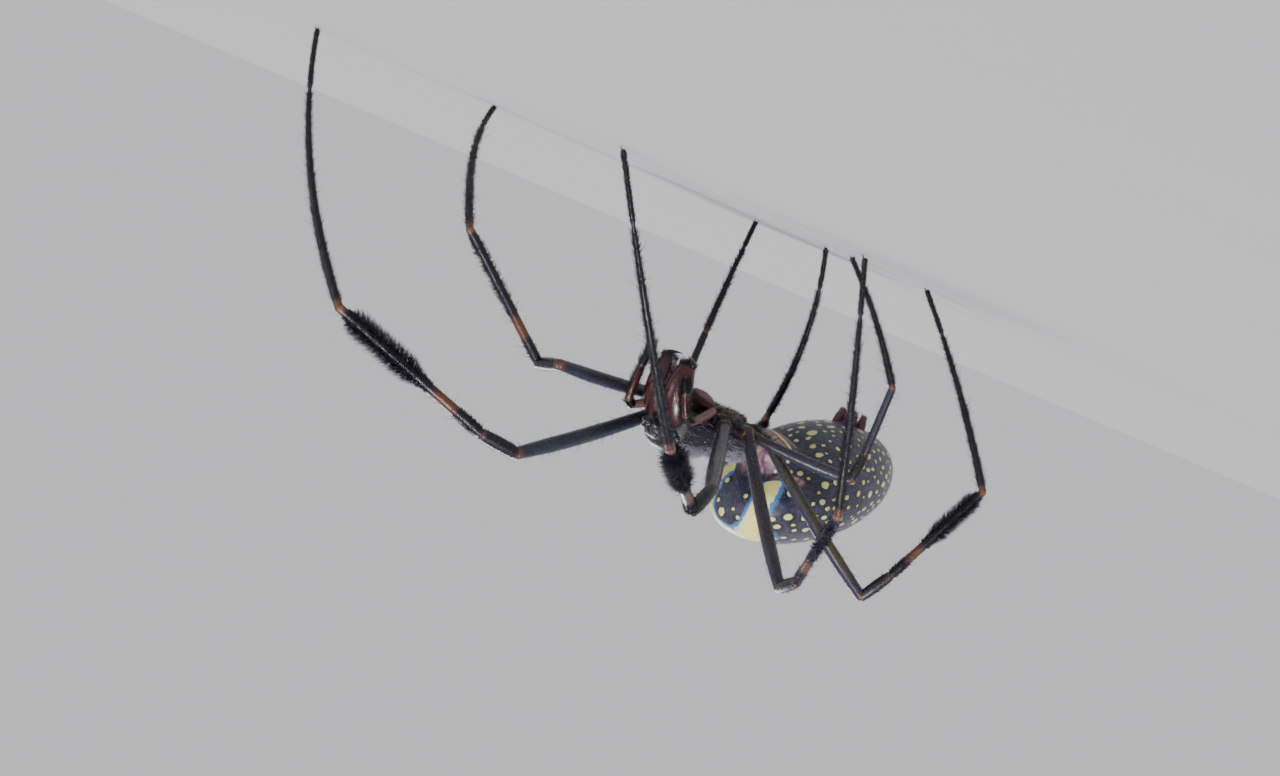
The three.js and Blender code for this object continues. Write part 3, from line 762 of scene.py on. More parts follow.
def carapace(s, turn):
    ahead = mix(SHELL_REAR, SHELL_FRONT, ease(s))
    over, curve = np.maximum(0, sin(turn)), raised(sin(turn), 0.9)
    back = (ahead - REAR_ROUND) / (SHELL_REAR - REAR_ROUND)
    rear_round = np.where(ahead < REAR_ROUND, np.sqrt(np.maximum(0, 1 - back ** 2)), 1)
    waist = 1 - smooth(0.2, 3.1, ahead)
    full = HEAD_HALF_WIDTH + (THORAX_HALF_WIDTH - HEAD_HALF_WIDTH) * waist
    tip = np.maximum(0, (ahead - NOSE_START) / (SHELL_FRONT - NOSE_START))
    nose = np.sqrt(np.maximum(0, 1 - tip ** 4))
    wide = full * rear_round * nose
    hump = THORAX_HEIGHT * (0.25 + 0.75 * smooth(SHELL_REAR, -1.4, ahead))
    hump = hump + (HEAD_HEIGHT - THORAX_HEIGHT) * smooth(0.4, 3.6, ahead)
    tall = hump * rear_round * nose ** 0.7
    dimple = DIMPLE_DEPTH * np.exp(-((ahead + 0.5) / 0.8) ** 2) * over ** 12
    groove = GROOVE_DEPTH * np.exp(-((ahead - 1.6 - 0.5 * np.abs(cos(turn))) / 0.35) ** 2) * over
    side = wide * raised(cos(turn), 0.75)
    up = np.where(sin(turn) > 0, (tall - dimple - groove) * curve, 0.5 * wide / full * sin(turn))
    return spot(ahead, side, SHELL_MARGIN + up)


lumps = [grown("shell", 72, 84, carapace), grown("mound", 20, 24, ball(EYE_MOUND, EYE_MOUND_HALF))]
shell = merged_skin("carapace_shell", lumps, SHELL_VOXEL, 5)
shell_points, shell_normals = vertices_of(shell)
shell_ahead, shell_right, shell_rise = own_places(shell_points)
face = smooth(5.2, 6.2, shell_ahead) * smooth(3.4, 2.2, shell_rise)
flank = smooth(1.6, 1.1, shell_rise) * smooth(2.0, 3.2, np.abs(shell_right))
shell_tint = layered("120d1a", ("08060b", face), ("241428", flank))
add_mark(shell.data, "tint", shell_tint)
print("carapace", len(shell_points), "vertices")

# %% [markdown]
# The silvery hair of the carapace lies back and outward. It is dense on top, thin on the face, and
# leaves pairs of bare dark spots on the head and thorax, as a grown female of this kind shows.

# %% Hair on the carapace
BALD_SPOTS = [(3.4, 1.0, 0.5), (1.9, 1.7, 0.45), (0.2, 2.1, 0.5), (-1.6, 1.9, 0.45),
              (-0.5, 0, 0.45)]
SILVER_HAIRS = 11000
bald = np.full(len(shell_points), FAR)
for ahead, aside, reach in BALD_SPOTS:
    bald = np.minimum(bald, np.hypot(shell_ahead - ahead, np.abs(shell_right) - aside) - reach)
dense = smooth(-0.1, 0.15, bald) * smooth(0.3, 0.8, shell_normals[:, 2])
dense = dense * smooth(5.9, 4.6, shell_ahead) + 0.012
pick = rng.choice(len(shell_points), SILVER_HAIRS, replace=False, p=dense / dense.sum())
outwards = way_to(-1, 0, 0) + np.outer(np.tanh(shell_right[pick]), way_to(0, 0.5, 0))
lie = unit(outwards - shell_normals[pick] * (shell_normals[pick] * outwards).sum(-1, keepdims=True))
patches = np.stack([(shell_ahead[pick] + 5) / 13, (shell_right[pick] + 4.5) / 9], -1)
pearl = mix("c9c4d4", "8f8898", rng.random(len(pick)))
shell_coat = coat(shell_points[pick], shell_normals[pick], lie, 0.42, 0.015, pearl, patches,
                  lift=0.2)
add_hairs("carapace_hair", [shell_coat], DOWN, bent=False)
finished(shell, BODY_SHELL, ["carapace"])

# %% [markdown]
# ## The eyes
# Eight small eyes: four in a square on the mound, and a pair on a knob at each side of the face.
# Each is a wet black dome sunk by half in its dark socket, as on the real head.

# %% Eyes
EYES = {
    "eye_front_middle": [(7.2, 0.36, 2.5, 0.27)],
    "eye_rear_middle": [(6.95, 0.42, 3.15, 0.26)],
    "eyes_lateral": [(6.28, 1.86, 2.5, 0.25), (6.02, 2.1, 2.78, 0.25)],
}

EYE_SINK, SOCKET_RIM = 0.12, 0.07


def eye_dome(name, centre, radius):
    deselect()
    bpy.ops.mesh.primitive_uv_sphere_add(segments=32, ring_count=20, radius=radius, location=centre)
    bpy.ops.object.transform_apply(location=True)
    dome = bpy.context.object
    dome.name = name
    return dome


for letter, side in (("l", -1), ("r", 1)):
    for name, domes in EYES.items():
        made, sockets = [], []
        for ahead, aside, rise, radius in domes:
            inner = (EYE_MOUND[0] - 0.6, 0 if aside < 1 else aside * 0.8, rise - 0.1)
            inward = unit(np.array(inner) - (ahead, aside, rise))
            made.append(eye_dome(name, spot(ahead, side * aside, rise), radius))
            seat = np.array([ahead, aside, rise]) + inward * EYE_SINK

            def socket(s, turn, seat=seat, radius=radius):
                out = (radius + SOCKET_RIM) * sin(pi * s)
                depth = (radius + 0.02) * cos(pi * s) * 0.8
                return spot(seat[0] - depth, side * seat[1] + out * cos(turn),
                            seat[2] + out * sin(turn))

            sockets.append(tinted(grown("socket", 16, 24, socket), "120d18"))
        node = f"{name}_{letter}"
        finished(joined(f"{node}_domes", made), EYE_SHELL, [node])
        finished(joined(f"{node}_sockets", sockets), BODY_SHELL)
print("eyes", 2 * sum(len(domes) for domes in EYES.values()))

# %% [markdown]
# ## Jaws and fangs
# The two chelicerae are stout glossy jaws that bulge forward from the face, dark red-brown with
# violet-black edges, and they meet along a seam with a fringe of hair, painted pale as the highlight
# that runs along the seam. Each ends in a fang that folds across to the middle. The fang is extruded
# from a circle along its curve.

# %% Jaws and fangs
JAW_ROOT, JAW_SLANT, JAW_TOP, JAW_LENGTH = 5.55, 1.7, 2.2, 5.4
JAW_SIDE, JAW_HALF_WIDTH, JAW_HALF_DEPTH = 1.1, 1.26, 1.45
JAW_BULGE, JAW_SEAM = 0.55, 1.0
JAW_HAIRS = [
    # The first row is the hair fringe at the seam; its pale tone is a painted highlight on real
    # hair.
    (260, 0.12, 0.97, pi - 0.5, pi + 0.1, 0.36, "a49fa6"),
    (420, 0.86, 0.97, 0.0, 2 * pi, 0.6, "2a1c1e"),
    (360, 0.1, 0.9, 0.0, 2 * pi, 0.4, "3b3340"),
]


def jaw(side):
    def place(s, turn):
        eased = ease(s)
        girth = rounded(0.12 + 0.8 * eased, 0.42) * np.minimum(1, rounded(s, 1) * 3.2) ** 0.6
        across = JAW_HALF_WIDTH * (1 - 0.12 * eased) * girth * cos(turn)
        flattened = -JAW_SEAM - 0.07 * np.tanh((-across - JAW_SEAM) * 8)
        across = np.where(across < -JAW_SEAM, flattened, across)
        deep = (JAW_HALF_DEPTH - 0.45 * eased) * girth * sin(turn)
        ahead = JAW_ROOT + JAW_SLANT * eased + JAW_BULGE * sin(pi * eased ** 0.8) + deep
        return spot(ahead, side * (JAW_SIDE + across), JAW_TOP - JAW_LENGTH * eased)
    return place


def jaw_marks(s, turn):
    front = smooth(0.1, 0.9, sin(turn)) * smooth(0.02, 0.3, s) * smooth(1.0, 0.7, s)
    cheek = smooth(0.55, 0.8, s) * smooth(0.98, 0.85, s) * smooth(0.3, 0.9, cos(turn))
    return {"tint": layered("0a040c", ("36050a", front), ("521006", cheek),
                            ("0d0710", smooth(0.55, 0.95, -cos(turn))))}


jaw_coats = []
for letter, side in (("l", -1), ("r", 1)):
    place = jaw(side)
    jaw_shell = grown(f"chelicera_{letter}_shell", 64, 56, place, jaw_marks)
    finished(jaw_shell, JAW_SHELL, [f"chelicera_{letter}"])
    root, knee = spot(7.2, side * 1.75, -3.05), spot(7.35, side * 1.35, -3.75)
    tip = spot(6.75, side * 0.4, -3.75)
    path = [bowed(root, knee, tip, t) for t in np.linspace(0, 1, 9)]
    fang = tinted(hook(f"fang_{letter}_hook", path, np.linspace(0.36, 0.07, 9), 14), "1f0506")
    finished(fang, JAW_SHELL, [f"fang_{letter}"])
    for count, low, high, turn_low, turn_high, length, tone in JAW_HAIRS:
        s = rng.uniform(low, high, count)
        turn = rng.uniform(turn_low, turn_high, count)
        point, normal, along = on_surface(place, s, turn)
        share = turn % (2 * pi) / (2 * pi) - 0.5
        patch = np.stack([(0.25 if side < 0 else 0.75) + share * 0.45, s], -1)
        jaw_coats.append(coat(point, normal, along, length, 0.011, tone, patch, lift=0.45))
add_hairs("jaw_hair", jaw_coats, HAIR)

# %% [markdown]
# ## Mouthparts, sternum and waist
# Below the jaws lie two pale jaw plates with a lip between them. The sternum is the heart-shaped
# plate between the hips, black and hairy with an orange-red edge. A short stalk, the waist, leads to
# the abdomen.


# %% Mouthparts, sternum and waist
PLATES = [pod((2.6, side * 1.25, -0.75), (5.0, side * 0.72, -1.35), wide=0.66, tall=0.5,
              power=0.55) for side in (1, -1)]
LIP = pod((2.55, 0, -0.6), (3.9, 0, -0.6), wide=0.75, tall=0.42, power=0.5)
WAIST = pod((-2.6, 0, 0.6), WAIST_END, wide=0.6, tall=0.6, power=0.35)


def plate_marks(s, turn):
    return {"tint": mix("77504f", "331a22", smooth(0.5, 0.05, s))}


def sternum(s, turn):
    eased = ease(s)
    wide = 2.05 * np.maximum(sin(pi * eased ** 1.25), 0) ** 0.7
    deep = 0.5 * sin(pi * eased) ** 0.5
    return spot(mix(-2.9, 2.5, eased), wide * cos(turn), -0.35 + deep * sin(turn))


def sternum_marks(s, turn):
    edge = smooth(0.55, 0.95, np.abs(cos(turn))) + smooth(0.8, 0.97, s) + smooth(0.2, 0.03, s)
    return {"tint": mix("0c080c", "8a3020", np.clip(edge, 0, 1))}


plates = [grown("plate", 28, 24, plate, plate_marks) for plate in PLATES]
mouth = joined("mouthparts_plates", [*plates, grown("lip", 24, 24, LIP, plate_marks)])
finished(mouth, SOFT_SKIN, ["mouthparts"])
chest = grown("sternum_plate", 40, 48, sternum, sternum_marks)
finished(chest, BODY_SHELL, ["sternum"])
finished(tinted(grown("waist_stalk", 24, 24, WAIST), "3a1a2a"), SOFT_SKIN, ["pedicel"])
under_coats = []
UNDER_HAIRS = [(sternum, 1500, "171217", 0.5), (sternum, 260, "d9b6b4", 0.45),
               *((plate, 150, "8a7276", 0.3) for plate in PLATES)]
for place, count, tone, length in UNDER_HAIRS:
    s = rng.uniform(0.05, 0.97, count)
    turn = rng.uniform(-pi, 0, count)
    point, normal, along = on_surface(place, s, turn)
    patch = np.stack([0.05 + 0.9 * (turn + pi) / pi, 0.05 + 0.9 * s], -1)
    lie = -along if place is sternum else along
    under_coats.append(coat(point, normal, lie, length, 0.012, tone, patch, lift=0.5))
add_hairs("sternum_hair", under_coats, HAIR)

# %% [markdown]
# ## The legs
# Each leg is a chain of hollow plates on soft joints: coxa, trochanter, femur, patella, tibia,
# metatarsus and tarsus. A sphere is drawn out along each plate's own gentle bow, with round ends
# that meet inside the joint, where the paler membrane shows. The measures repeat the solids'.

# %% Leg measures
# Plate lengths are shares of the carapace's length; thick, brush and hip are half widths in mm.
MEASURES = ("femur", "patella", "tibia", "foot", "thick", "brush", "hip", "belly")
PAIRS = [dict(zip(MEASURES, row)) for row in (
    (1.62, 0.33, 1.47, 2.22, 0.62, 1.35, 0.84, "262833"),
    (1.40, 0.30, 1.16, 1.90, 0.56, 0.78, 0.80, "292126"),
    (0.80, 0.22, 0.58, 1.10, 0.48, 0.00, 0.70, "2a2434"),
    (1.43, 0.28, 0.99, 1.70, 0.52, 1.00, 0.80, "3b3416"))]
# The coxa's inner end and the hip, each as ahead, outwards and up from the middle of the hips.
HIPS = {
    "l1": ((1.75, 1.7, 0.3), (2.8, 3.35, 1.1)), "l2": ((0.65, 1.95, 0.1), (1.2, 4.15, 0.05)),
    "l3": ((-0.75, 1.9, 0.1), (-1.0, 4.1, 0.4)), "l4": ((-1.95, 1.5, 0.1), (-2.85, 3.45, 0.3)),
    "r1": ((1.75, 1.75, 0.1), (2.9, 3.6, 0.5)), "r2": ((0.65, 1.95, 0.1), (0.95, 4.45, 0.2)),
    "r3": ((-0.75, 1.9, 0.1), (-1.0, 4.1, 0.4)), "r4": ((-1.95, 1.5, 0.1), (-2.85, 3.45, 0.3)),
}
# Turn from straight ahead and rise, in degrees, of femur, patella and tibia; then the turn of the
# foot, which falls to the floor by itself, and its bow.
POSE = {
    "l1": ((-4, 26), (19, -7), (30, -19), 76, 0.07),
    "l2": ((-1, 3), (104, 12), (40, -40), 126, 0.07),
    "l3": ((128, 6), (133, -42), (137, -62), 142, 0.03),
    "l4": ((157, 32), (147, -5), (-40, -61), -35, 0.05),
    "r1": ((45, 14), (28, 33), (29, -17), -11, 0.09),
    "r2": ((83, 43), (61, -22), (45, -33), -35, 0.03),
    "r3": ((141, 1), (153, -84), (37, -84), -48, 0.03),
    "r4": ((132, 36), (119, -59), (139, -65), -65, 0.02),
}


def heading(turn, rise, side):
    turn, rise = math.radians(turn), math.radians(rise)
    return np.array([-side * cos(rise) * sin(turn), -cos(rise) * cos(turn), sin(rise)])


def leg_points(name):
    side = 1 if name[0] == "r" else -1
    pair = PAIRS[int(name[1]) - 1]
    inner, outer = [spot(a, side * r, h) for a, r, h in HIPS[name]]
    points = [outer]
    for step, part in zip(POSE[name][:3], ("femur", "patella", "tibia")):
        points.append(points[-1] + heading(*step, side) * pair[part] * CARAPACE_LENGTH)
    foot = pair["foot"] * CARAPACE_LENGTH
    drop = math.degrees(math.asin(points[-1][2] / foot))
    points.append(points[-1] + heading(POSE[name][3], -drop, side) * foot)
    return inner, points


print("feet at", {name: [round(float(x), 1) for x in leg_points(name)[1][-1][:2]] for name in POSE})


# %% [markdown]
# One plate: its centre line is a bowed curve, and `skin_at` gives any point of its surface. The
# hairs use the same function, so they root exactly on the shell.


# %% One plate of a leg
CAP_RINGS, CAP_REACH, LEG_SIDES = 5, 0.55, 20


class Plate:
    def __init__(self, start, end, towards, bow, radius_at):
        chord = end - start
        self.length = np.linalg.norm(chord)
        along = chord / self.length
        outward = towards - along * (towards @ along)
        if np.linalg.norm(outward) < 1e-3:
            outward = np.array([1.0, 0, 0]) - along * along[0]
        self.start, self.end = start, end
        self.middle = (start + end) / 2 + unit(outward) * 2 * bow * self.length
        self.across = unit(np.cross(along, unit(outward)))
        self.radius_at = radius_at

    def line(self, t):
        return bowed(self.start, self.middle, self.end, t[..., None])

    def tangent(self, t):
        t = t[..., None]
        return unit((1 - t) * (self.middle - self.start) + t * (self.end - self.middle))

    def skin_at(self, t, turn, radius=None):
        held = np.clip(t, 0, 1)
        tangent = self.tangent(held)
        radial = self.across * cos(turn)[..., None]
        radial = radial + unit(np.cross(self.across, tangent)) * sin(turn)[..., None]
        size = self.radius_at(held) if radius is None else radius
        centre = self.line(held) + tangent * ((t - held) * self.length)[..., None]
        return centre + radial * np.asarray(size)[..., None], radial, tangent

    def mesh(self, name, marks, step=0.22):
        body = max(4, int(self.length / step))
        rings = 2 * CAP_RINGS + body
        first, last = self.radius_at(np.array(0.0)), self.radius_at(np.array(1.0))

        def spread(s):
            """Share of the length and radius at s, with a round cap past each end."""
            i = s * rings
            t = np.clip((i - CAP_RINGS) / body, 0, 1)
            rise_in = np.clip(i / CAP_RINGS, 0, 1) * pi / 2
            rise_out = np.clip((rings - i) / CAP_RINGS, 0, 1) * pi / 2
            radius = self.radius_at(t) * sin(rise_in) * sin(rise_out)
            past = cos(rise_in) * first * CAP_REACH - cos(rise_out) * last * CAP_REACH
            return t - past / self.length, radius

        def place(s, turn):
            t, radius = spread(s)
            return self.skin_at(t, turn, radius)[0]

        def tint(s, turn):
            return {"tint": marks(np.clip(spread(s)[0], 0, 1), turn)}

        return grown(name, rings, LEG_SIDES, place, tint)


print("rings of a cap", CAP_RINGS, "sides of a leg", LEG_SIDES)


# %% [markdown]
# ## Colours along a leg
# The femora are violet-grey with an olive cast, the patellae black, the tibiae black with orange
# rings, and the long metatarsi black-violet with a pale ring at the ankle, which is a painted glint
# on that joint. Each rule below takes the share of the way along its plate.

# %% Colours along a leg
VIOLET = "27253c"
BLACK, NIGHT = "09070e", "0d0b14"
ORANGE, TAN, AMBER = "653820", "6b473a", "33220c"
MEMBRANE = "59362e"


def femur_marks(belly):
    def marks(t, turn):
        up = sin(turn)
        return layered(belly, (VIOLET, smooth(-0.5, 0.7, up)),
                       ("14121c", 0.5 * smooth(0.75, 0.2, t) * smooth(0.2, -0.8, up)),
                       ("221b38", 0.7 * smooth(0.8, 0.94, t)),
                       (ORANGE, 0.6 * smooth(0.975, 0.99, t)), (AMBER, 0.6 * smooth(0.04, 0.0, t)))
    return marks


def patella_marks(t, turn):
    return layered(BLACK, ("191226", smooth(0.2, 0.9, sin(turn))),
                   (MEMBRANE, 0.8 * smooth(0.08, 0.0, t) + 0.6 * smooth(0.94, 1.0, t)))


def tibia_marks(brush):
    def marks(t, turn):
        ring = smooth(0.16, 0.23, t) * smooth(0.38, 0.3, t) * (0.75 if brush else 0)
        ankle = mix(ORANGE, TAN, smooth(0.97, 1.0, t))
        return layered(NIGHT, ("1c1a30", smooth(-0.2, 0.9, sin(turn))), (ORANGE, ring),
                       (ankle, smooth(0.965, 0.98, t)))
    return marks


def foot_marks(t, turn):
    # The pale bluish ring at the joint before the tarsus is a painted glint, not a colour of the
    # shell.
    painted_joint_glint = 0.8 * smooth(0.765, 0.775, t) * smooth(0.795, 0.785, t)
    return layered(BLACK, ("14111f", smooth(0, 1, sin(turn))),
                   (mix(ORANGE, BLACK, 0.35), smooth(0.04, 0.012, t)), ("332d42", painted_joint_glint))


def coxa_marks(t, turn):
    return layered("1a1430", ("0b0810", smooth(0.3, -0.6, sin(turn))),
                   ("8a4a4a", 0.6 * smooth(0.14, 0.0, t)), (AMBER, smooth(0.68, 0.8, t)))


print("leg colours", VIOLET, ORANGE, TAN, MEMBRANE)

# %% [markdown]
# The girth of each plate is a plain rule too: the femur swells before its middle, the trochanter is
# a ring after a pinch in the coxa, and the foot tapers evenly with a nick at the ankle.


# %% Building the legs
def femur_radius(thick):
    def radius(t):
        swell = 0.2 * sin(pi * np.minimum(1, t * 0.75))
        return thick * (0.86 + swell - 0.12 * smooth(0.75, 1, t)) * 0.97
    return radius


def coxa_radius(stout, thick):
    def radius(t):
        coxa = stout * (0.72 + 0.28 * sin(pi * np.minimum(1, t / 0.75)))
        ring = coxa + (thick * 1.1 - coxa) * smooth(0.6, 0.68, t)
        return ring * (1 - 0.16 * np.exp(-((t - 0.7) / 0.045) ** 2)) * 0.97
    return radius


def foot_radius(thick):
    def radius(t):
        taper = mix(thick * 0.58, 0.17, smooth(0, 0.92, t))
        return taper * (1 - 0.18 * np.exp(-((t - 0.775) / 0.01) ** 2))
    return radius


legs = {}
for name in POSE:
    pair = PAIRS[int(name[1]) - 1]
    thick = pair["thick"]
    inner, points = leg_points(name)
    steps = [unit(b - a) for a, b in zip(points, points[1:])]
    heel = points[4] - steps[3] * 0.35
    bare = lambda t, thick=thick: thick * (0.76 - 0.08 * t - 0.1 * np.exp(-(t / 0.03) ** 2)) * 0.95
    knee = lambda t, thick=thick: thick * (0.8 + 0.13 * sin(pi * t))
    plates = {
        "coxa": Plate(inner, points[0], UP, 0.02, coxa_radius(pair["hip"], thick)),
        "femur": Plate(points[0], points[1], UP, 0.015, femur_radius(thick)),
        "patella": Plate(points[1], points[2], UP, 0.0, knee),
        "tibia": Plate(points[2], points[3], UP, 0.0, bare),
        "foot": Plate(points[3], heel, steps[2], POSE[name][4], foot_radius(thick)),
    }
    marks = {"coxa": coxa_marks, "femur": femur_marks(pair["belly"]), "patella": patella_marks,
             "tibia": tibia_marks(pair["brush"]), "foot": foot_marks}
    parts = [plate.mesh(part, marks[part]) for part, plate in plates.items()]
    nodes = [f"{part}_{name}" for part in ("coxa", "femur", "patella", "tibia", "metatarsus")]
    finished(joined(f"leg_{name}", parts), LEG_SHELL, nodes)
    for part, plate in plates.items():
        plate.marks = marks[part]
    legs[name] = plates
front = sum(plate.length for plate in legs["l1"].values())
print("legs", len(legs), "front leg length", round(front, 1), "mm")

# %% [markdown]
# ## Claws
# Each tarsus ends in two curved main claws and a smaller middle hook, with which the spider holds
# on. Standing, their backs touch the floor. Each is extruded from a circle.

# %% Claws
for name, plates in legs.items():
    foot = plates["foot"]
    end, way = foot.end, foot.tangent(np.array(1.0))
    level = unit(np.cross(way, UP))
    claws = []
    for aside, size in ((1, 1.0), (-1, 1.0), (0, 0.7)):
        start = end + level * aside * 0.07
        ahead = np.array([way[0], way[1], 0]) + 1e-6
        tip = np.array([*(start + (unit(ahead) * 0.3 + level * aside * 0.12) * size)[:2], 0.03])
        bend = (start + tip) / 2 + unit(ahead) * 0.12 * size + UP * 0.08
        path = [bowed(start, bend, tip, t) for t in np.linspace(0, 1, 6)]
        claw = hook("claw", path, np.linspace(0.055, 0.012, 6) * size, 8)
        claws.append(tinted(claw, "2a1208"))
    finished(joined(f"claws_{name}", claws), JAW_SHELL)
print("claws", 3 * len(legs))

# %% [markdown]
# ## Hairs on the legs
# Fine dark hairs stand at a slant all along the legs, with a few long spines. The tibiae of the
# first, second and fourth pairs carry dense bottle brushes, whose hairs stand out above and below
# and leave the sides bare, so that a line of light runs along the shell.


# %% Hairs on the legs
LEG_ORDER = list(POSE)
LEG_REACH = 66.0


def leg_coat(name, part, count, low, high, length, width, tone, lift, sides_bare=0.0):
    plates = legs[name]
    order = list(plates)
    before = sum(plates[key].length for key in order[:order.index(part)])
    t = rng.uniform(low, high, count)
    turn = rng.uniform(-pi, pi, count)
    if sides_bare:
        keep = rng.random(count) < (1 - sides_bare) + sides_bare * np.abs(sin(turn)) ** 1.5
        t, turn = t[keep], turn[keep]
    point, radial, tangent = plates[part].skin_at(t, turn)
    reach = length(t) if callable(length) else np.full(len(t), float(length))
    row = LEG_ORDER.index(name)
    patch = np.stack([0.01 + 0.98 * (before + t * plates[part].length) / LEG_REACH,
                      (row + 0.04 + 0.92 * (turn + pi) / (2 * pi)) / 8], -1)
    below = plates[part].marks(t, turn)
    tint = mix(tone, below, 0.4)
    return coat(point, radial, tangent, reach, width, tint, patch, lift, spread=0.2, curl=0.25)


def brush_length(pair):
    def length(t):
        bare = pair["thick"] * 0.72
        full = smooth(0.36, 0.52, t) * (1 - smooth(0.86, 0.965, t))
        tuft = 0.3 * (1 - smooth(0.1, 0.2, t))
        return np.maximum(0.22, (pair["brush"] - bare) * (full + tuft) * 1.12)
    return length


BRUSHES = {"1": ("front", 6000), "2": ("middle", 1800), "4": ("rear", 4400)}
brushes = {group: [] for group, _ in BRUSHES.values()}
for name in LEG_ORDER:
    pair = PAIRS[int(name[1]) - 1]
    if pair["brush"]:
        group, dense = BRUSHES[name[1]]
        reach = brush_length(pair)
        for share, low, high, width, tone, lift, bare in (
                (0.86, 0.37, 0.955, 0.016, "1b1625", 0.78, 0.72),
                (0.14, 0.02, 0.18, 0.014, "14121d", 0.66, 0.4)):
            brushes[group].append(leg_coat(name, "tibia", int(dense * share), low, high, reach,
                                           width, tone, lift, bare))
for group, coats in brushes.items():
    add_hairs(f"tibia_brush_{group}", coats, HAIR)

# %% [markdown]
# The rest of the coat is one table: the plate, how many hairs a long leg has there, from where to
# where they stand, their length and thickness, their colour, and how steeply they rise.

# %% Short hairs and spines
LEG_HAIRS = [
    ("femur", 900, 0.05, 0.97, 0.26, 0.008, "8f8896", 0.3),
    ("femur", 110, 0.05, 0.97, 0.75, 0.013, "1a1620", 0.55),
    ("patella", 150, 0.08, 0.95, 0.4, 0.011, "221c28", 0.5),
    ("tibia", 620, 0.03, 0.97, 0.34, 0.009, "3a3446", 0.38),
    ("tibia", 70, 0.03, 0.97, 1.0, 0.014, "121018", 0.62),
    ("foot", 2600, 0.02, 0.76, 0.42, 0.011, "17141f", 0.45),
    ("foot", 1200, 0.78, 0.995, 0.27, 0.011, "100e15", 0.42),
    ("foot", 60, 0.02, 0.72, 0.95, 0.015, "100e15", 0.6),
    ("coxa", 260, 0.05, 0.66, 0.38, 0.011, "2a2434", 0.5),
    ("coxa", 60, 0.02, 0.66, 0.4, 0.01, "b596a0", 0.6),
]
for letter in "lr":
    coats = []
    for name in [n for n in LEG_ORDER if n[0] == letter]:
        long_leg = PAIRS[int(name[1]) - 1]["foot"] / 2.2
        for part, count, *rest in LEG_HAIRS:
            count = count if part == "coxa" else int(count * long_leg)
            coats.append(leg_coat(name, part, count, *rest))
    add_hairs(f"leg_hair_{letter}", coats, HAIR)

# %% [markdown]
# ## Palps
# The palps are short feelers beside the jaws. Each has a tan femur, a black knee, a red-brown tibia
# and a black spiny tip, and it is one more chain of plates.

# %% Palps
PALP_LINES = {
    "l": [(3.6, 2.2, -0.35), (7.2, 3.0, 1.75), (8.0, 2.85, 1.3), (8.2, 2.75, -1.5),
          (8.25, 2.6, -3.85)],
    "r": [(3.6, 2.3, -0.35), (6.5, 3.3, 0.95), (7.4, 3.2, 0.65), (8.2, 3.05, -0.9),
          (8.75, 2.9, -2.15)],
}
PALP_PARTS = [("735048", 0.36, 0.33, 160, 0.3), ("0f090d", 0.38, 0.36, 130, 0.35),
              ("3f0c0a", 0.31, 0.34, 420, 0.42), ("0a070b", 0.33, 0.2, 620, 0.5)]
palp_coats = []
for letter, side in (("l", -1), ("r", 1)):
    line = [spot(a, side * r, h) for a, r, h in PALP_LINES[letter]]
    parts = []
    for i, (tone, first, last, count, length) in enumerate(PALP_PARTS):
        def marks(t, turn, tone=tone):
            return layered(tone, (MEMBRANE, 0.7 * smooth(0.06, 0, t)),
                           (MEMBRANE, 0.5 * smooth(0.95, 1, t)))

        radius = lambda t, a=first, b=last: mix(a, b, t) * (1 + 0.12 * sin(pi * t))
        one = Plate(line[i], line[i + 1], UP, 0.03, radius)
        parts.append(one.mesh("palp", marks, step=0.14))
        t, turn = rng.uniform(0.05, 0.98, count), rng.uniform(-pi, pi, count)
        point, radial, tangent = one.skin_at(t, turn)
        half = (0.25 if side < 0 else 0.75) + turn / (2 * pi) * 0.45
        patch = np.stack([0.02 + 0.96 * (i + t) / 4, half], -1)
        palp_coats.append(coat(point, radial, tangent, length, 0.012, "151016", patch, 0.55))
    finished(joined(f"palp_{letter}_feeler", parts), JAW_SHELL, [f"palp_{letter}"])
add_hairs("palp_hair", palp_coats, HAIR)

# %% [markdown]
# ## Spinnerets
# Three pairs of short cones under the rear of the abdomen, on a low mound. Each cone is extruded
# from a circle in a few steps, so that its tip rounds off.

# %% Spinnerets
SPINNERET_PLACE = (-17.2, -1.35, -3.3)
MOUND = ball((-17.2, -1.35, -2.7), (1.35, 1.2, -1.0))
SPINNERETS = [(0.75, 0.62, 0.5, 1.0), (0.0, 0.5, 0.34, 0.8), (-0.85, 0.68, 0.46, 1.05)]
CONE_SHAPE = {0: 1, 0.3: 0.98, 0.6: 0.88, 0.62: 0.74, 0.85: 0.62, 0.97: 0.42, 1.0: 0.1}


def by_spinnerets(ahead, right, rise):
    return spot(SPINNERET_PLACE[0] + ahead, SPINNERET_PLACE[1] + right, SPINNERET_PLACE[2] + rise)


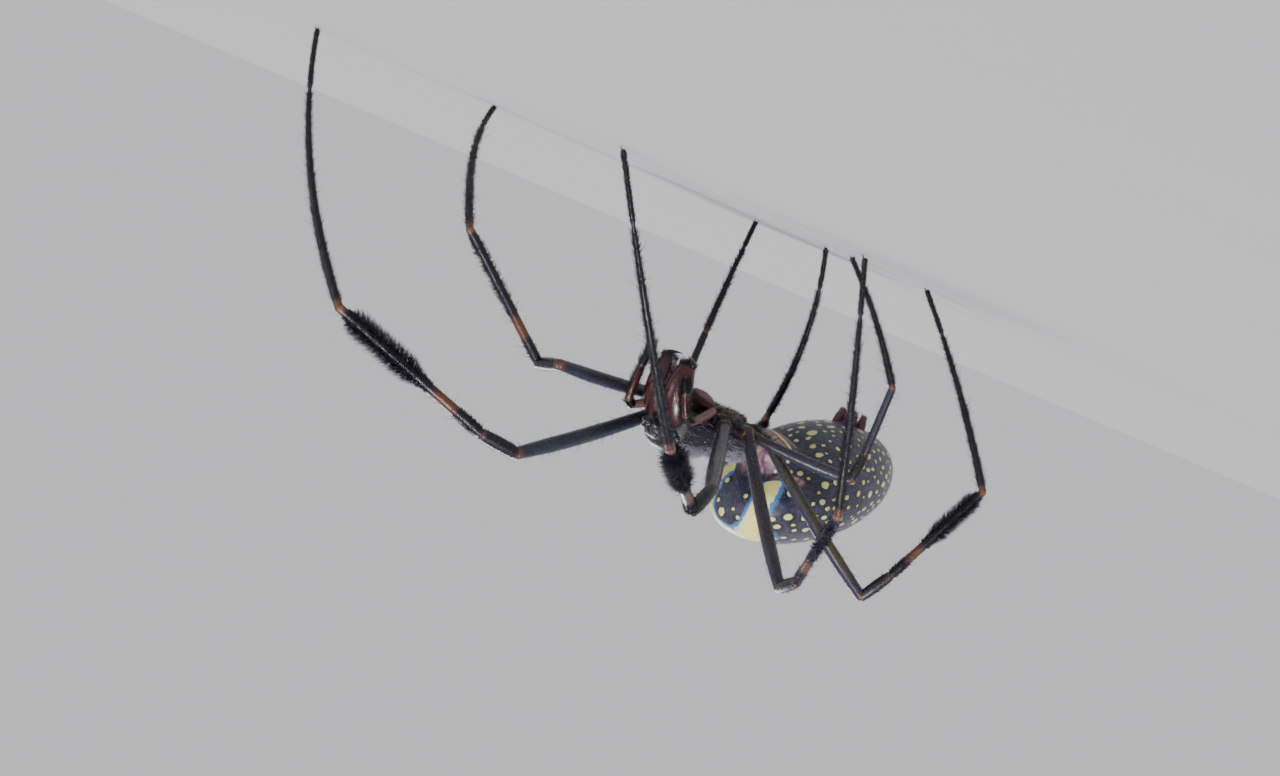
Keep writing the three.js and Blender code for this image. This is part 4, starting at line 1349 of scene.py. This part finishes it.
cones = [tinted(grown("mound", 24, 32, MOUND), "2c121b")]
spinner_coats = []
for ahead, apart, radius, reach in SPINNERETS:
    for side in (-1, 1):
        base = by_spinnerets(ahead, side * apart, 0.4)
        end = by_spinnerets(ahead * 1.05, side * apart * 0.8, -0.15 - reach)
        path = [base + (end - base) * t for t in CONE_SHAPE]
        cone = hook("cone", path, [radius * k for k in CONE_SHAPE.values()], 20)
        cones.append(tinted(cone, mix("541f2a", "6d4258", rng.random() * 0.5)))
        one = Plate(base, end, np.array([0, -1.0, 0]), 0, lambda t, r=radius: r * (1 - 0.5 * t))
        t, turn = rng.uniform(0.35, 0.98, 160), rng.uniform(-pi, pi, 160)
        point, radial, tangent = one.skin_at(t, turn)
        patch = np.stack([0.1 + 0.8 * t, 0.5 + 0.07 * ahead + side * 0.2 + turn * 0.02], -1)
        spinner_coats.append(coat(point, radial, tangent, 0.3, 0.01, "b59aa8", patch, lift=0.4))
finished(joined("spinneret_cones", cones), SOFT_SKIN, ["spinnerets"])
add_hairs("spinneret_hair", spinner_coats, DOWN)

# %% [markdown]
# ## Floor and light
# A wide pale floor meets pale air of nearly the same tone, so the horizon hardly shows. One broad
# soft light stands on the camera's side, a weaker one lower down, a third behind and a narrow one
# in front, which give the legs their lines of light.


# %% Floor and light
FLOOR_RADIUS = 6.0
AIR = 0.7
LAMPS = {
    "key_light": ((-0.85, -0.45, 0.75), 3.4, 16),
    "fill_light": ((0.35, -0.9, 0.15), 0.9, 30),
    "rim_light": ((0.7, 0.6, 0.5), 1.1, 20),
    "strip_light": ((-0.5, -0.8, 0.4), 0.9, 4),
}


def studio():
    deselect()
    bpy.ops.mesh.primitive_circle_add(vertices=128, radius=FLOOR_RADIUS, fill_type="NGON")
    floor = bpy.context.object
    floor.name = "floor"
    bpy.ops.object.mode_set(mode="EDIT")
    bpy.ops.mesh.inset(thickness=FLOOR_RADIUS * 0.98)
    bpy.ops.object.mode_set(mode="OBJECT")
    f = Finish("floor_paper", Roughness=0.95)
    tone = f.blend(f.noise(0.05, 2.0), (0.41, 0.413, 0.42), (0.425, 0.428, 0.435))
    floor.data.materials.append(f.wear(Base_Color=tone))
    floor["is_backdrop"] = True


def soft_sun(name, towards, power, spread):
    deselect()
    bpy.ops.object.light_add(type="SUN", location=Vector(towards) * 0.4)
    lamp = bpy.context.object
    lamp.name = name
    lamp.data.energy = power
    lamp.data.angle = math.radians(spread)
    lamp.rotation_euler = Vector(towards).to_track_quat("Z", "Y").to_euler()


studio()
for name, (towards, power, spread) in LAMPS.items():
    soft_sun(name, towards, power, spread)
world = bpy.data.worlds.new("studio_air")
bpy.context.scene.world = world
world.use_nodes = True
air = world.node_tree.nodes["Background"].inputs
air["Color"].default_value = (0.97, 0.98, 1.0, 1)
air["Strength"].default_value = AIR
print("lamps", len(LAMPS))

low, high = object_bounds()
print("visual box", [round(x, 4) for x in (*low, *high)])
